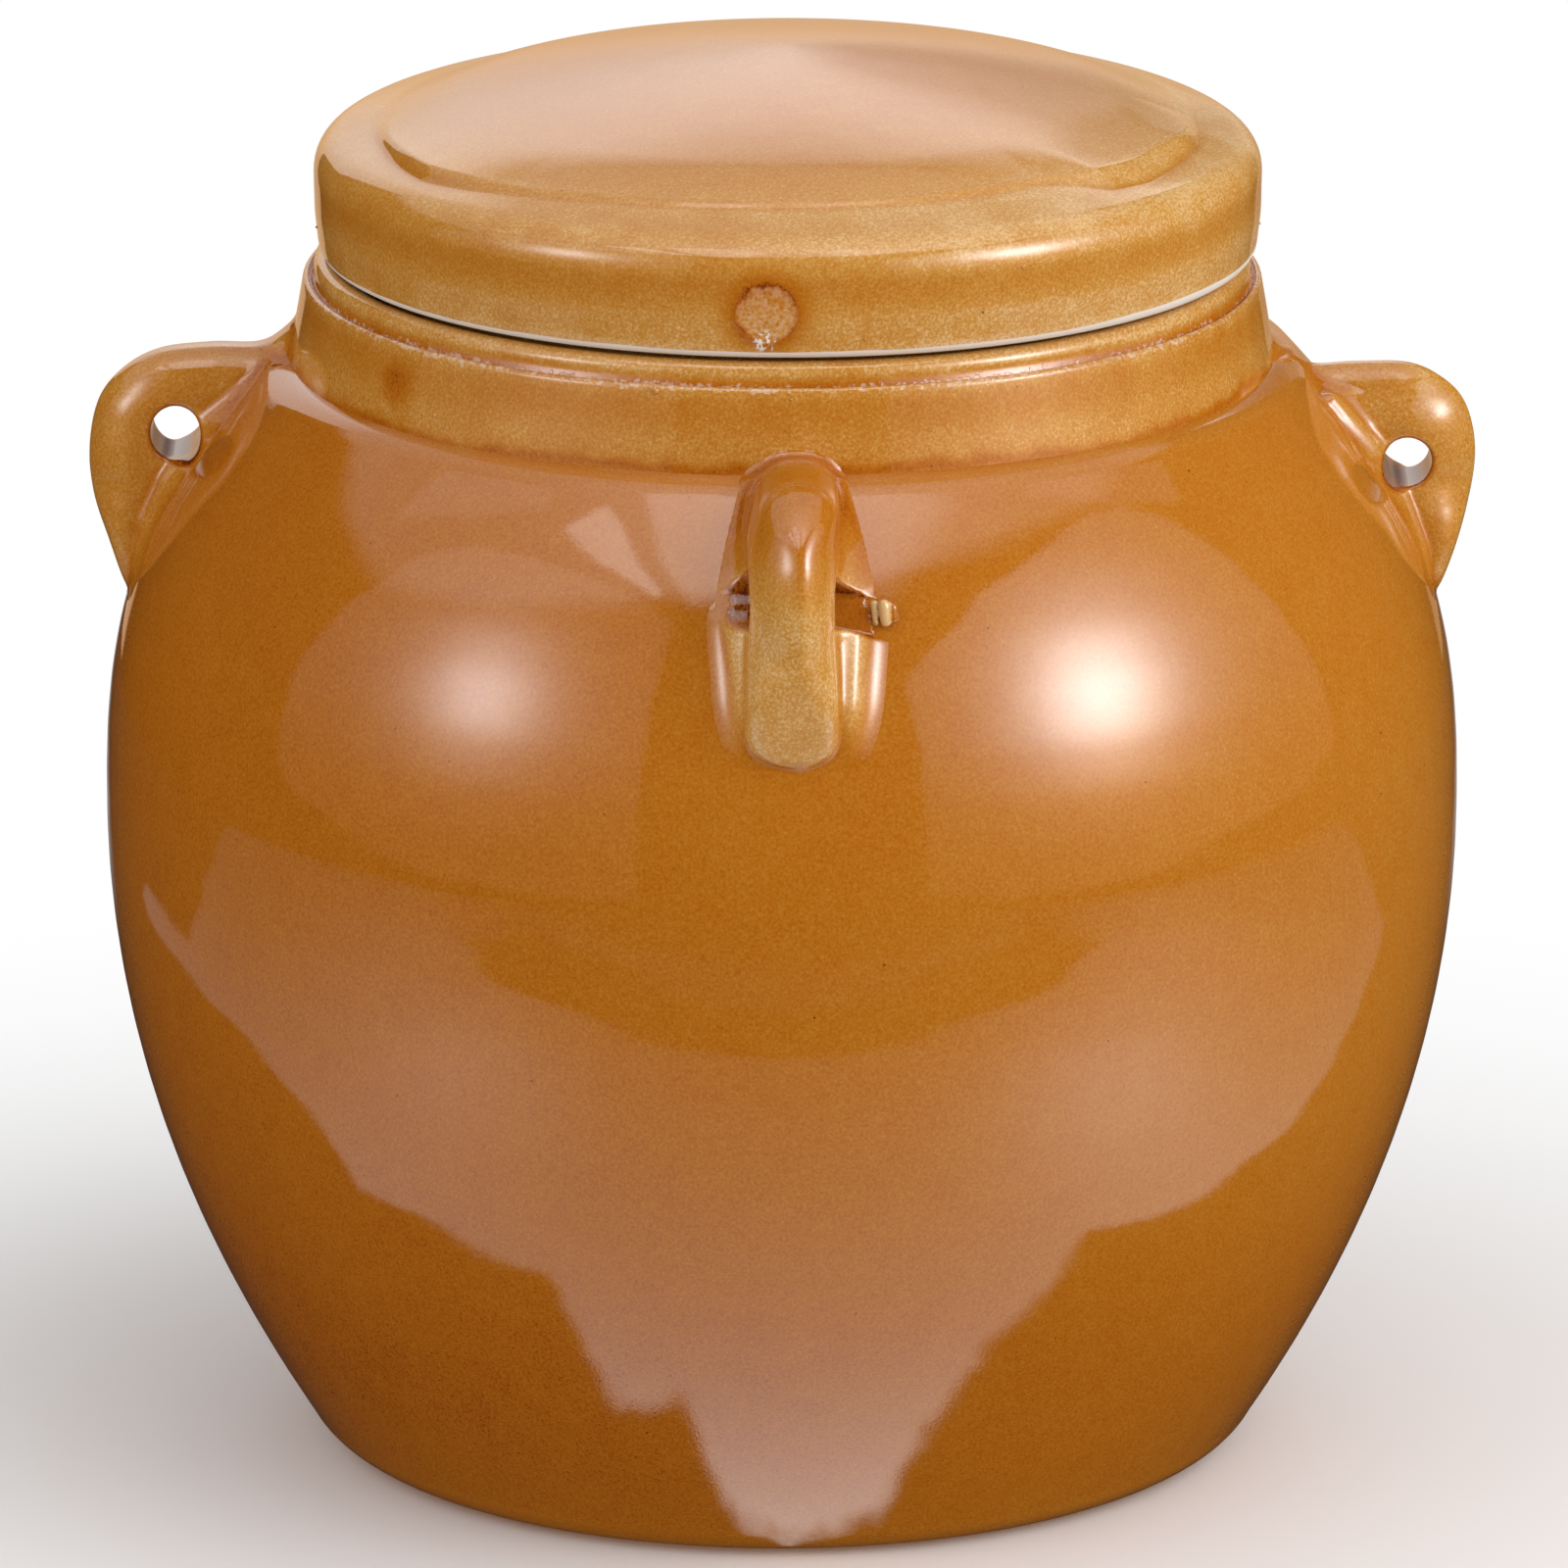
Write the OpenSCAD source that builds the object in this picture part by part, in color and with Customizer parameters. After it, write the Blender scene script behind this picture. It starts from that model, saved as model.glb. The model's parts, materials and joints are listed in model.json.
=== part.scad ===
// Water seal pickle jar in glazed stoneware: a bellied jar with four ears, a
// water moat round its mouth, and a lid whose flange stands in that moat.
// Millimetres. The origin is on the standing plane, on the jar's axis, +Z is
// up, and the front ear points along -Y.

/* [Body] */
// Largest radius of the thrown body
belly_r = 100; // [90:0.5:115]
// Height of the largest radius above the floor
belly_z = 97; // [80:1:110]
// Radius of the foot, before its edge is rounded
base_r = 68; // [60:0.1:75]
// Rounding where the base meets the wall
foot_round = 9.5; // [4:0.5:12]
// Height of the moat floor, where the shoulder ends
shoulder_z = 164; // [150:1:180]
// Thickness of the wall
wall = 6; // [4:0.5:8]
// Thickness of the floor
floor_t = 7; // [5:0.5:12]
// Thickness of the ledge that carries the moat
ledge_t = 6; // [4:0.5:10]

/* [Mouth and moat] */
// Inner radius of the mouth
mouth_r = 47.5; // [40:0.5:55]
// Wall of the ring round the mouth
neck_wall = 4.5; // [3:0.5:6]
// Height of the ring round the mouth above the moat floor
neck_h = 22; // [18:0.5:30]
// Water gap between the mouth ring and the lid's flange
inner_gap = 5; // [3:0.5:8]
// Water gap between the lid's flange and the collar
outer_gap = 3.5; // [2:0.5:6]
// Wall of the collar at its rim
collar_wall = 5.4; // [4.6:0.1:7]
// Height of the collar's outer ridge above the moat floor
collar_h = 12.3; // [10:0.1:15]
// Height of the bead above the ridge
bead_rise = 3.3; // [2.6:0.1:4]
// Radius of the bead on the collar's rim
bead_r = 1.9; // [1.5:0.1:2.2]
// How far the collar's foot flares out
collar_flare = 4.1; // [2:0.1:6]
// Shoulder left bare outside the collar's foot
shoulder_step = 0.5; // [0:0.1:2]

/* [Ears] */
// How far the ears reach out past the belly
ear_proud = 2.4; // [0:0.1:8]
// Thickness of an ear
ear_t = 13; // [9:0.5:15]
// Radius of an ear's round nose
ear_nose = 14.2; // [12:0.1:16]
// Height of a side ear's top above the moat floor
side_rise = 1; // [0:0.1:4]
// Height of the front and back ears' tops above the moat floor
front_rise = 4; // [0:0.1:6]
// How far an ear's lower tip lies below the moat floor
ear_drop = 37.5; // [32:0.5:42]
// Turn of the front ear round the jar's axis, in degrees
front_turn = 1.3; // [-3:0.1:3]
// Rounding of an ear's edges
ear_round = 3.6; // [1:0.1:5]
// Width of the smeared root where an ear meets the shoulder
root_w = 19.5; // [16:0.5:24]
// Length of the smeared root along the shoulder
root_len = 31; // [26:0.5:36]
// How far the smeared root stands off the shoulder
root_rise = 2.4; // [1:0.1:4]
// Radius of the poked hole
hole_r = 3.65; // [3:0.05:4.5]
// Least clay left between the hole and the shoulder
hole_web = 0.4; // [0.2:0.1:1]
// How far the left ear's hole lies below the moat floor
left_hole_drop = 11; // [9:0.5:18]
// How far the right ear's hole lies below the moat floor
right_hole_drop = 15.5; // [9:0.5:18]
// How far the front and back ears' holes lie below the moat floor
front_hole_drop = 13.5; // [9:0.5:18]

/* [Lid] */
// Air left between the collar's bead and the lid's lower edge
lid_gap = 0.7; // [0.3:0.1:2]
// How far the lid's lower edge stays inside the collar's ridge
skirt_inset = 1.55; // [0.5:0.05:3]
// How far the skirt swells above its lower edge
skirt_swell = 0.65; // [0:0.05:1.5]
// Thickness of the skirt
skirt_wall = 4.6; // [3:0.1:6]
// Thickness of the flange that stands in the moat
flange_wall = 4.5; // [3:0.1:6]
// Air between the mouth ring and the underside of the lid
head_gap = 7; // [3:0.5:12]
// Thickness of the cap at its crease
cap_t = 6.3; // [5:0.1:9]
// Width of the sloping rim outside the crease
brim_w = 10.3; // [8:0.1:13]
// Fall of the sloping rim, from the crease to the skirt's rounding
brim_fall = 1.9; // [1:0.1:3]
// Rounding between the sloping rim and the skirt
brim_round = 5.5; // [3:0.1:6]
// Height of the raised disc's edge above the crease
disc_step = 1.9; // [1:0.1:3]
// Width of the disc's sloping edge
disc_edge = 2.2; // [1:0.1:4]
// Height of the dome above the disc's edge
dome_rise = 8.8; // [4:0.1:12]

/* [Hidden] */
$fn = 96;

amber = [0.72, 0.43, 0.12];
honey = [0.78, 0.52, 0.20];
curve_steps = 36;
arc_steps = 10;

// Exponents of the two curves that shape the wall below and above the belly.
lower_pow = 2.05;
upper_pow = 2.55;

// The radii of the mouth, moat and lid follow from each other outwards.
neck_r = mouth_r + neck_wall;
flange_in_r = neck_r + inner_gap;
flange_r = flange_in_r + flange_wall;
moat_r = flange_r + outer_gap;
collar_r = moat_r + collar_wall;
collar_foot_r = collar_r + collar_flare;
shoulder_r = collar_foot_r + shoulder_step;
ear_reach = belly_r + ear_proud;

// The ears hang from the moat floor, and the mouth, moat and lid rise from it.
ear_tip_z = shoulder_z - ear_drop;
neck_top = shoulder_z + neck_h;
ridge_z = shoulder_z + collar_h;
bead_top = ridge_z + bead_rise;
skirt_z = bead_top + lid_gap;
ceiling_z = neck_top + head_gap;
crease_z = ceiling_z + cap_t;
disc_z = crease_z + disc_step;

// The radii of the lid's profile.
skirt_r = collar_r - skirt_inset;
swell_r = skirt_r + skirt_swell;
skirt_in_r = skirt_r - skirt_wall;
crease_r = swell_r - brim_w;
disc_r = crease_r - disc_edge;

// Radius of the outer wall at height z.
function body_out(z) = z <= belly_z
    ? base_r + (belly_r - base_r) * (1 - pow((belly_z - z) / belly_z, lower_pow))
    : shoulder_r + (belly_r - shoulder_r)
      * (1 - pow((z - belly_z) / (shoulder_z - belly_z), upper_pow));

// How fast that radius grows with z.
function body_slope(z) = z <= belly_z
    ? lower_pow * (belly_r - base_r) / belly_z
      * pow((belly_z - z) / belly_z, lower_pow - 1)
    : -upper_pow * (belly_r - shoulder_r) / (shoulder_z - belly_z)
      * pow((z - belly_z) / (shoulder_z - belly_z), upper_pow - 1);

// Radius of the inner wall at height z, one wall thickness in.
function body_in(z) = body_out(z) - wall * sqrt(1 + pow(body_slope(z), 2));

// The same points as a path, from z0 to z1.
function wall_path(z0, z1, inner) = [
    for (i = [0 : curve_steps])
        let (z = z0 + (z1 - z0) * i / curve_steps)
        [inner ? body_in(z) : body_out(z), z]
];

// An arc of radius r round the centre c, from angle a0 to a1.
function arc(c, r, a0, a1, n = arc_steps) = [
    for (i = [0 : n])
        let (a = a0 + (a1 - a0) * i / n)
        c + r * [cos(a), sin(a)]
];

// A rounded corner between a floor at height z and a wall that leans outwards.
function foot_arc(corner_r, z, lean, r) =
    arc([corner_r - r * tan((90 - lean) / 2), z + r], r, -90, -lean);

function lean_at(z) = atan(body_slope(z));

outer_foot = foot_arc(base_r, 0, lean_at(0), foot_round);
inner_round = foot_round + wall / 2;
inner_foot = foot_arc(body_in(floor_t), floor_t, lean_at(floor_t), inner_round);

function last(list) = list[len(list) - 1];

outer_wall = wall_path(last(outer_foot)[1], shoulder_z, false);
inner_wall = wall_path(last(inner_foot)[1], shoulder_z - ledge_t, true);

function reversed(list) = [for (i = [len(list) - 1 : -1 : 0]) list[i]];

// The solid that fills the body out to its glazed face.
module body_form() {
    rotate_extrude()
        polygon(concat([[0, 0]], outer_foot, outer_wall, [[0, shoulder_z]]));
}

module jar_body() {
    color(amber) rotate_extrude()
        polygon(concat(
            [[0, 0]], outer_foot, outer_wall,
            [[mouth_r, shoulder_z], [mouth_r, shoulder_z - ledge_t]],
            reversed(inner_wall), reversed(inner_foot), [[0, floor_t]]));
}

module inner_neck() {
    lip = neck_wall / 2;
    color(honey) rotate_extrude()
        polygon(concat(
            [[mouth_r, shoulder_z], [neck_r, shoulder_z]],
            arc([mouth_r + lip, neck_top - lip], lip, 0, 180)));
}

// The collar's outer face: a rolled foot, then a hollow flare up to the ridge.
foot_roll = 1.4;
ridge_r = 0.7;
groove_in = 1.1;
roll_c = [collar_foot_r - foot_roll, shoulder_z + foot_roll * 0.8];
bead_c = [moat_r + bead_r, bead_top - bead_r];

function collar_face() = concat(
    arc(roll_c, foot_roll, -50, 60, 5),
    [for (i = [2 : arc_steps])
        let (t = i / arc_steps)
        [collar_r + collar_flare * pow(1 - t, 3), shoulder_z + (collar_h - ridge_r) * t]]);

function collar_rim() = concat(
    arc([collar_r - ridge_r, ridge_z - ridge_r], ridge_r, 30, 110, 5),
    [[collar_r - groove_in, ridge_z - ridge_r]],
    arc(bead_c, bead_r, -15, 180));

module moat_collar() {
    color(honey) rotate_extrude()
        polygon(concat([[moat_r, shoulder_z]], collar_face(), collar_rim()));
}

// The solid that fills the collar out to its glazed face.
module collar_form() {
    rotate_extrude()
        polygon(concat([[0, shoulder_z]], collar_face(), [[0, ridge_z]]));
}

tip_r = 5;
tip_proud = 0.4;

// One slice of an ear that ends at height top: its outline drawn in by inset,
// at thickness t. The slice is a round nose, a lower tip and an inner corner.
module ear_slab(top, inset, t) {
    for (c = [[ear_reach - ear_nose, top - ear_nose, ear_nose],
              [body_out(ear_tip_z) + tip_proud - tip_r, ear_tip_z + tip_r, tip_r],
              [collar_r, top - tip_r, tip_r]])
        translate([c[0], 0, c[1]]) rotate([90, 0, 0])
            cylinder(r = c[2] - inset, h = t, center = true, $fn = 40);
}

// The strap, with its edges rounded in steps.
module ear_strap(top) {
    hull() for (a = [0, 30, 60, 90])
        ear_slab(top, ear_round * (1 - cos(a)), ear_t - 2 * ear_round * (1 - sin(a)));
}

// The clay smeared from the strap on to the shoulder: a low mound centred
// root_sink below the glazed face, so that it leaves the face at a slant.
root_sink = 4;
module ear_root() {
    z = (ear_tip_z + shoulder_z) / 2;
    lean = atan(body_slope(z));
    tall = root_sink + root_rise;
    spread = 1 / sqrt(1 - pow(root_sink / tall, 2));
    translate([body_out(z), 0, z]) rotate([0, lean, 0]) translate([-root_sink, 0, 0])
        scale([tall, root_w / 2 * spread, root_len / 2 * spread]) sphere(1, $fn = 32);
}

// Distance from the axis at which a hole at height z just clears the shoulder.
function hole_x(z) = body_out(z) + (hole_r + hole_web) * sqrt(1 + pow(body_slope(z), 2));

// One ear along +X, seated on the shoulder and the collar, with its hole.
module ear(rise, hole_drop) {
    hole_z = shoulder_z - hole_drop;
    difference() {
        union() {
            ear_strap(shoulder_z + rise);
            ear_root();
        }
        body_form();
        collar_form();
        translate([hole_x(hole_z), 0, hole_z]) rotate([90, 0, 0])
            cylinder(r = hole_r, h = 2 * root_w, center = true);
    }
}

module ear_left() { color(amber) rotate([0, 0, 180]) ear(side_rise, left_hole_drop); }

module ear_right() { color(amber) ear(side_rise, right_hole_drop); }

module ear_front() { color(amber) rotate([0, 0, front_turn - 90]) ear(front_rise, front_hole_drop); }

module ear_back() { color(amber) rotate([0, 0, 90]) ear(front_rise, front_hole_drop); }

// Height of the dome at radius r, over a disc of radius disc_r.
dome_pow = 1.5;
function dome_z(r) = disc_z + dome_rise * (1 - pow(r / disc_r, dome_pow));

function dome_path() = [
    for (i = [curve_steps / 2 : -1 : 0])
        let (r = disc_r * 2 * i / curve_steps) [r, dome_z(r)]
];

// The lid's outside, from the skirt's lower edge up to the top of the dome.
// The rounding ends at the angle brim_turn, where the sloping rim leaves it.
edge_r = 1;
brim_turn = 73;
brim_c = [swell_r - brim_round, crease_z - brim_fall - brim_round * sin(brim_turn)];
function lid_face() = concat(
    arc([skirt_r - edge_r, skirt_z + edge_r], edge_r, -90, -10, 5),
    [[swell_r - skirt_swell / 6, (skirt_z + brim_c[1]) / 2]],
    arc(brim_c, brim_round, 0, brim_turn, 8),
    [[crease_r, crease_z], [disc_r + disc_edge / 3, disc_z - disc_step / 4]],
    dome_path());

// The lid's underside: the skirt, a flat land for the flange, and a hollow
// that leaves the cap a little thicker at its middle.
hollow_r = flange_in_r - 1;
hollow_h = dome_rise + 1.2;
function lid_under() = concat(
    [for (i = [0 : arc_steps])
        let (t = i / arc_steps) [hollow_r * t, ceiling_z + hollow_h * (1 - t * t)]],
    [[skirt_in_r, ceiling_z], [skirt_in_r, skirt_z]]);

module lid_cap() {
    color(honey) rotate_extrude()
        polygon(concat(lid_under(), lid_face()));
}

module lid_flange() {
    color(honey) rotate_extrude()
        polygon(concat(
            arc([flange_in_r + edge_r, shoulder_z + edge_r], edge_r, 180, 270, 4),
            arc([flange_r - edge_r, shoulder_z + edge_r], edge_r, -90, 0, 4),
            [[flange_r, ceiling_z], [flange_in_r, ceiling_z]]));
}

jar_body();
inner_neck();
moat_collar();
ear_left();
ear_right();
ear_front();
ear_back();
lid_cap();
lid_flange();
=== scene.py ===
"""The looks of a water seal pickle jar in amber and honey glaze.

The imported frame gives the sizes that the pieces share. Lengths here are in
millimetres until a mesh is made, angles are in degrees where a name says so,
and the front ear points along -Y, towards the camera.
"""
import json
import logging
import math
from dataclasses import dataclass, field
from enum import Enum
from typing import Any, ClassVar, Sequence

import bpy
import numpy as np
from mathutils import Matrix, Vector


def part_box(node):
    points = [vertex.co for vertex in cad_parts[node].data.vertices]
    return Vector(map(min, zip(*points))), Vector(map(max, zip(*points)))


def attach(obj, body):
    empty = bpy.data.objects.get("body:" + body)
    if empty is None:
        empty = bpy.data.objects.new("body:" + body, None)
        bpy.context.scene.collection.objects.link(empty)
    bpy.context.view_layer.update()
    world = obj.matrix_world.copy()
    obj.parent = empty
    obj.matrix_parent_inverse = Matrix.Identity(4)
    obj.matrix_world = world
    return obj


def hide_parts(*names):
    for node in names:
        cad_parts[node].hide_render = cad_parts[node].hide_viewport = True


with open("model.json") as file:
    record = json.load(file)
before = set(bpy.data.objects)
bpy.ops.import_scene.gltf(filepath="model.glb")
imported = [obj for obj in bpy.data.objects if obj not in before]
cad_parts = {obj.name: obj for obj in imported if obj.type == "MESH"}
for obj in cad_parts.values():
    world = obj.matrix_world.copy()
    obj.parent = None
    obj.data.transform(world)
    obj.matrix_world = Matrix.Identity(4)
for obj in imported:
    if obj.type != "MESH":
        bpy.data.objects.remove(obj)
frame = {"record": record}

log = logging.getLogger("pickle_jar")

MM = 0.001
POOL = "pool"
LIFT = "lift"


class Body(Enum):
    """The two loose pieces of the jar, by their names in the frame."""

    JAR = "jar"
    LID = "lid"


class Slot(Enum):
    """The record's material slots."""

    AMBER = "amber_glaze"
    HONEY = "honey_glaze"


class Graph:
    """A node tree that is written with calls and Python operators."""

    def __init__(self, tree: bpy.types.NodeTree) -> None:
        """Starts on an existing node tree."""
        self.tree = tree

    def node(self, kind: str, settings: dict[str, Any] | None = None,
             sockets: dict[Any, Any] | None = None) -> bpy.types.Node:
        """Adds one node.

        Args:
            kind: the node's type name.
            settings: properties that are set first; "stops" fills a colour ramp.
            sockets: a value, a Number or an output socket for each input, by
                name or by place.

        Returns:
            The new node.
        """
        made = self.tree.nodes.new(kind)
        for name, value in (settings or {}).items():
            if name == "stops":
                self._fill_ramp(made.color_ramp, value)
            else:
                setattr(made, name, value)
        for key, value in (sockets or {}).items():
            if isinstance(value, Number):
                value = value.socket
            if isinstance(value, bpy.types.NodeSocket):
                self.tree.links.new(value, made.inputs[key])
            else:
                made.inputs[key].default_value = value
        return made

    @staticmethod
    def _fill_ramp(ramp: bpy.types.ColorRamp, stops: Sequence[tuple[float, tuple]]) -> None:
        """Sets a ramp's stops, each a place and a colour."""
        while len(ramp.elements) < len(stops):
            ramp.elements.new(1.0)
        for element, (place, colour) in zip(ramp.elements, stops):
            element.position = place
            element.color = (*colour, 1.0)

    def number(self, socket: bpy.types.NodeSocket) -> "Number":
        """Wraps an output socket, so that operators work on it."""
        return Number(self, socket)

    def math(self, operation: str, *values: Any) -> "Number":
        """Adds a Math node on numbers or links."""
        made = self.node("ShaderNodeMath", {"operation": operation}, dict(enumerate(values)))
        return self.number(made.outputs[0])

    def dot(self, vector: bpy.types.NodeSocket, way: Sequence[float]) -> "Number":
        """Adds the dot product of a linked vector and a fixed one."""
        made = self.node("ShaderNodeVectorMath", {"operation": "DOT_PRODUCT"},
                         {0: vector, 1: tuple(way)})
        return self.number(made.outputs["Value"])

    def split(self, vector: bpy.types.NodeSocket) -> tuple["Number", "Number", "Number"]:
        """Splits a vector into its three numbers."""
        made = self.node("ShaderNodeSeparateXYZ", None, {0: vector})
        x, y, z = (self.number(output) for output in made.outputs)
        return x, y, z

    def noise(self, vector: bpy.types.NodeSocket, grain: float, detail: float = 2.0) -> "Number":
        """Adds noise from 0 to 1 whose blobs are about grain millimetres wide."""
        made = self.node("ShaderNodeTexNoise", None,
                         {"Vector": vector, "Scale": 1.0 / (grain * MM), "Detail": detail})
        return self.number(made.outputs[0])

    def mix(self, share: "Number", first: Any, second: Any) -> bpy.types.NodeSocket:
        """Mixes two colours, each a triple or a link, by a share from 0 to 1."""
        ends = [end if isinstance(end, bpy.types.NodeSocket) else (*end, 1.0)
                for end in (first, second)]
        made = self.node("ShaderNodeMix", {"data_type": "RGBA"},
                         {0: share, 6: ends[0], 7: ends[1]})
        return made.outputs[2]


class Number:
    """A number on a socket. Python's operators on it add Math nodes."""

    def __init__(self, graph: Graph, socket: bpy.types.NodeSocket) -> None:
        """Wraps a socket of a graph."""
        self.graph = graph
        self.socket = socket

    def __add__(self, other: Any) -> "Number":
        """self + other."""
        return self.graph.math("ADD", self, other)

    def __radd__(self, other: Any) -> "Number":
        """other + self."""
        return self.graph.math("ADD", other, self)

    def __sub__(self, other: Any) -> "Number":
        """self - other."""
        return self.graph.math("SUBTRACT", self, other)

    def __rsub__(self, other: Any) -> "Number":
        """other - self."""
        return self.graph.math("SUBTRACT", other, self)

    def __mul__(self, other: Any) -> "Number":
        """self * other."""
        return self.graph.math("MULTIPLY", self, other)

    def __rmul__(self, other: Any) -> "Number":
        """other * self."""
        return self.graph.math("MULTIPLY", other, self)

    def __truediv__(self, other: Any) -> "Number":
        """self / other."""
        return self.graph.math("DIVIDE", self, other)

    def __rtruediv__(self, other: Any) -> "Number":
        """other / self."""
        return self.graph.math("DIVIDE", other, self)

    def __pow__(self, other: Any) -> "Number":
        """self ** other."""
        return self.graph.math("POWER", self, other)

    def __rpow__(self, other: Any) -> "Number":
        """other ** self."""
        return self.graph.math("POWER", other, self)

    def __mod__(self, other: Any) -> "Number":
        """self % other."""
        return self.graph.math("FLOORED_MODULO", self, other)

    def __neg__(self) -> "Number":
        """-self."""
        return self.graph.math("MULTIPLY", self, -1.0)

    def __abs__(self) -> "Number":
        """abs(self)."""
        return self.graph.math("ABSOLUTE", self)

    def least(self, other: Any) -> "Number":
        """The smaller of self and other."""
        return self.graph.math("MINIMUM", self, other)

    def most(self, other: Any) -> "Number":
        """The larger of self and other."""
        return self.graph.math("MAXIMUM", self, other)

    def rise(self, low: float, high: float) -> "Number":
        """A smooth step that is 0 below low and 1 above high."""
        made = self.graph.node("ShaderNodeMapRange", {"interpolation_type": "SMOOTHSTEP"},
                               {"Value": self, "From Min": low, "From Max": high})
        return self.graph.number(made.outputs["Result"])

    def fall(self, low: float, high: float) -> "Number":
        """A smooth step that is 1 below low and 0 above high."""
        return 1.0 - self.rise(low, high)


@dataclass(frozen=True)
class JarSizes:
    """The sizes that the pieces share, in millimetres. The frame gives most."""

    belly_r: float
    shoulder_z: float
    collar_foot_r: float
    bead_top: float
    neck_r: float
    neck_top: float
    flange_r: float
    ceiling_z: float
    swell_r: float
    skirt_z: float
    apex_z: float
    hole_r: float
    belly_z: float = 97.0
    base_r: float = 68.0
    foot_round: float = 9.5
    lower_pow: float = 2.05
    upper_pow: float = 2.55
    shoulder_step: float = 0.5
    wall: float = 6.0
    floor_t: float = 7.0
    ledge_t: float = 6.0
    neck_wall: float = 4.5
    flange_wall: float = 4.5
    skirt_wall: float = 4.6

    @classmethod
    def from_frame(cls) -> "JarSizes":
        """Reads the shared sizes from the CAD nodes' boxes and the record.

        Returns:
            The sizes.
        """
        def reach(node: str) -> float:
            """The radius of a round node."""
            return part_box(node)[1][0] / MM

        def top(node: str) -> float:
            """The highest point of a node."""
            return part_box(node)[1][2] / MM

        mounts = {mount["name"]: mount for mount in frame["record"]["mounts"]}
        return cls(
            belly_r=reach("jar_body"), shoulder_z=top("jar_body"),
            collar_foot_r=reach("moat_collar"), bead_top=top("moat_collar"),
            neck_r=reach("inner_neck"), neck_top=top("inner_neck"),
            flange_r=reach("lid_flange"), ceiling_z=top("lid_flange"),
            swell_r=reach("lid_cap"), skirt_z=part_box("lid_cap")[0][2] / MM,
            apex_z=top("lid_cap"), hole_r=mounts["left_ear_hole"]["dims"]["r_mm"])

    @property
    def shoulder_r(self) -> float:
        """Radius of the shoulder where it meets the collar's foot."""
        return self.collar_foot_r + self.shoulder_step

    @property
    def mouth_r(self) -> float:
        """Inner radius of the mouth."""
        return self.neck_r - self.neck_wall

    def wall_r(self, z: Any) -> Any:
        """Radius of the outer wall at height z."""
        low = np.clip((self.belly_z - z) / self.belly_z, 0.0, 1.0)
        high = np.clip((z - self.belly_z) / (self.shoulder_z - self.belly_z), 0.0, 1.0)
        return (self.belly_r - (self.belly_r - self.base_r) * low ** self.lower_pow
                - (self.belly_r - self.shoulder_r) * high ** self.upper_pow)

    def wall_slope(self, z: Any) -> Any:
        """How fast the outer wall's radius grows with z."""
        rise = self.shoulder_z - self.belly_z
        low = np.clip((self.belly_z - z) / self.belly_z, 0.0, 1.0)
        high = np.clip((z - self.belly_z) / rise, 0.0, 1.0)
        return (self.lower_pow * (self.belly_r - self.base_r) / self.belly_z
                * low ** (self.lower_pow - 1.0)
                - self.upper_pow * (self.belly_r - self.shoulder_r) / rise
                * high ** (self.upper_pow - 1.0))


@dataclass(frozen=True)
class Wave:
    """One slow ripple that a hand leaves in thrown clay."""

    height: float
    turns: int
    climb: float
    start: float


HAND_WAVES = (Wave(0.09, 2, 0.011, 0.4), Wave(0.05, 3, -0.03, 1.9),
              Wave(0.022, 5, 0.055, 3.1), Wave(0.012, 11, -0.10, 0.7),
              Wave(0.010, 1, 0.85, 0.0))


def hand_wobble(angle: Any, z: Any) -> Any:
    """How far the clay stands off its true radius.

    Args:
        angle: the angle round the jar's axis, in radians.
        z: the height in millimetres.

    Returns:
        The offset in millimetres.
    """
    return sum(w.height * np.sin(w.turns * angle + w.climb * z + w.start) for w in HAND_WAVES)


def arc(centre: tuple[float, float], radius: float, start: float, stop: float,
        count: int = 10) -> np.ndarray:
    """Points on an arc of a profile.

    Args:
        centre: its centre, as radius and height.
        radius: its radius.
        start: its first angle in degrees.
        stop: its last angle in degrees.
        count: how many steps it has.

    Returns:
        The points, one row each.
    """
    angles = np.radians(np.linspace(start, stop, count + 1))
    return np.column_stack([centre[0] + radius * np.cos(angles),
                            centre[1] + radius * np.sin(angles)])


def walk(points: np.ndarray, step: float) -> np.ndarray:
    """Walks along a path in even steps.

    Args:
        points: the path's corners.
        step: the wished length of a step.

    Returns:
        The path's points, with its two ends kept.
    """
    lengths = np.hypot(*np.diff(points, axis=0).T)
    marks = np.concatenate([[0.0], np.cumsum(lengths)])
    wanted = np.linspace(0.0, marks[-1], max(2, int(round(marks[-1] / step)) + 1))
    return np.column_stack([np.interp(wanted, marks, column) for column in points.T])


def soften(points: np.ndarray, step: float, spread: float) -> np.ndarray:
    """Rounds a profile's corners as melted glaze does.

    Args:
        points: the profile's corners.
        step: the length of a step along the result.
        spread: the width of the rounding.

    Returns:
        The rounded profile, with its two ends kept.
    """
    path = walk(points, step)
    reach = int(math.ceil(3 * spread / step))
    weights = np.exp(-0.5 * (np.arange(-reach, reach + 1) * step / spread) ** 2)
    weights /= weights.sum()
    padded = np.concatenate([2 * path[0] - path[reach:0:-1], path,
                             2 * path[-1] - path[-2:-reach - 2:-1]])
    smooth = np.column_stack([np.convolve(column, weights, "valid") for column in padded.T])
    smooth[0], smooth[-1] = path[0], path[-1]
    smooth[:, 0] = np.maximum(smooth[:, 0], 0.0)
    return smooth


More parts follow.
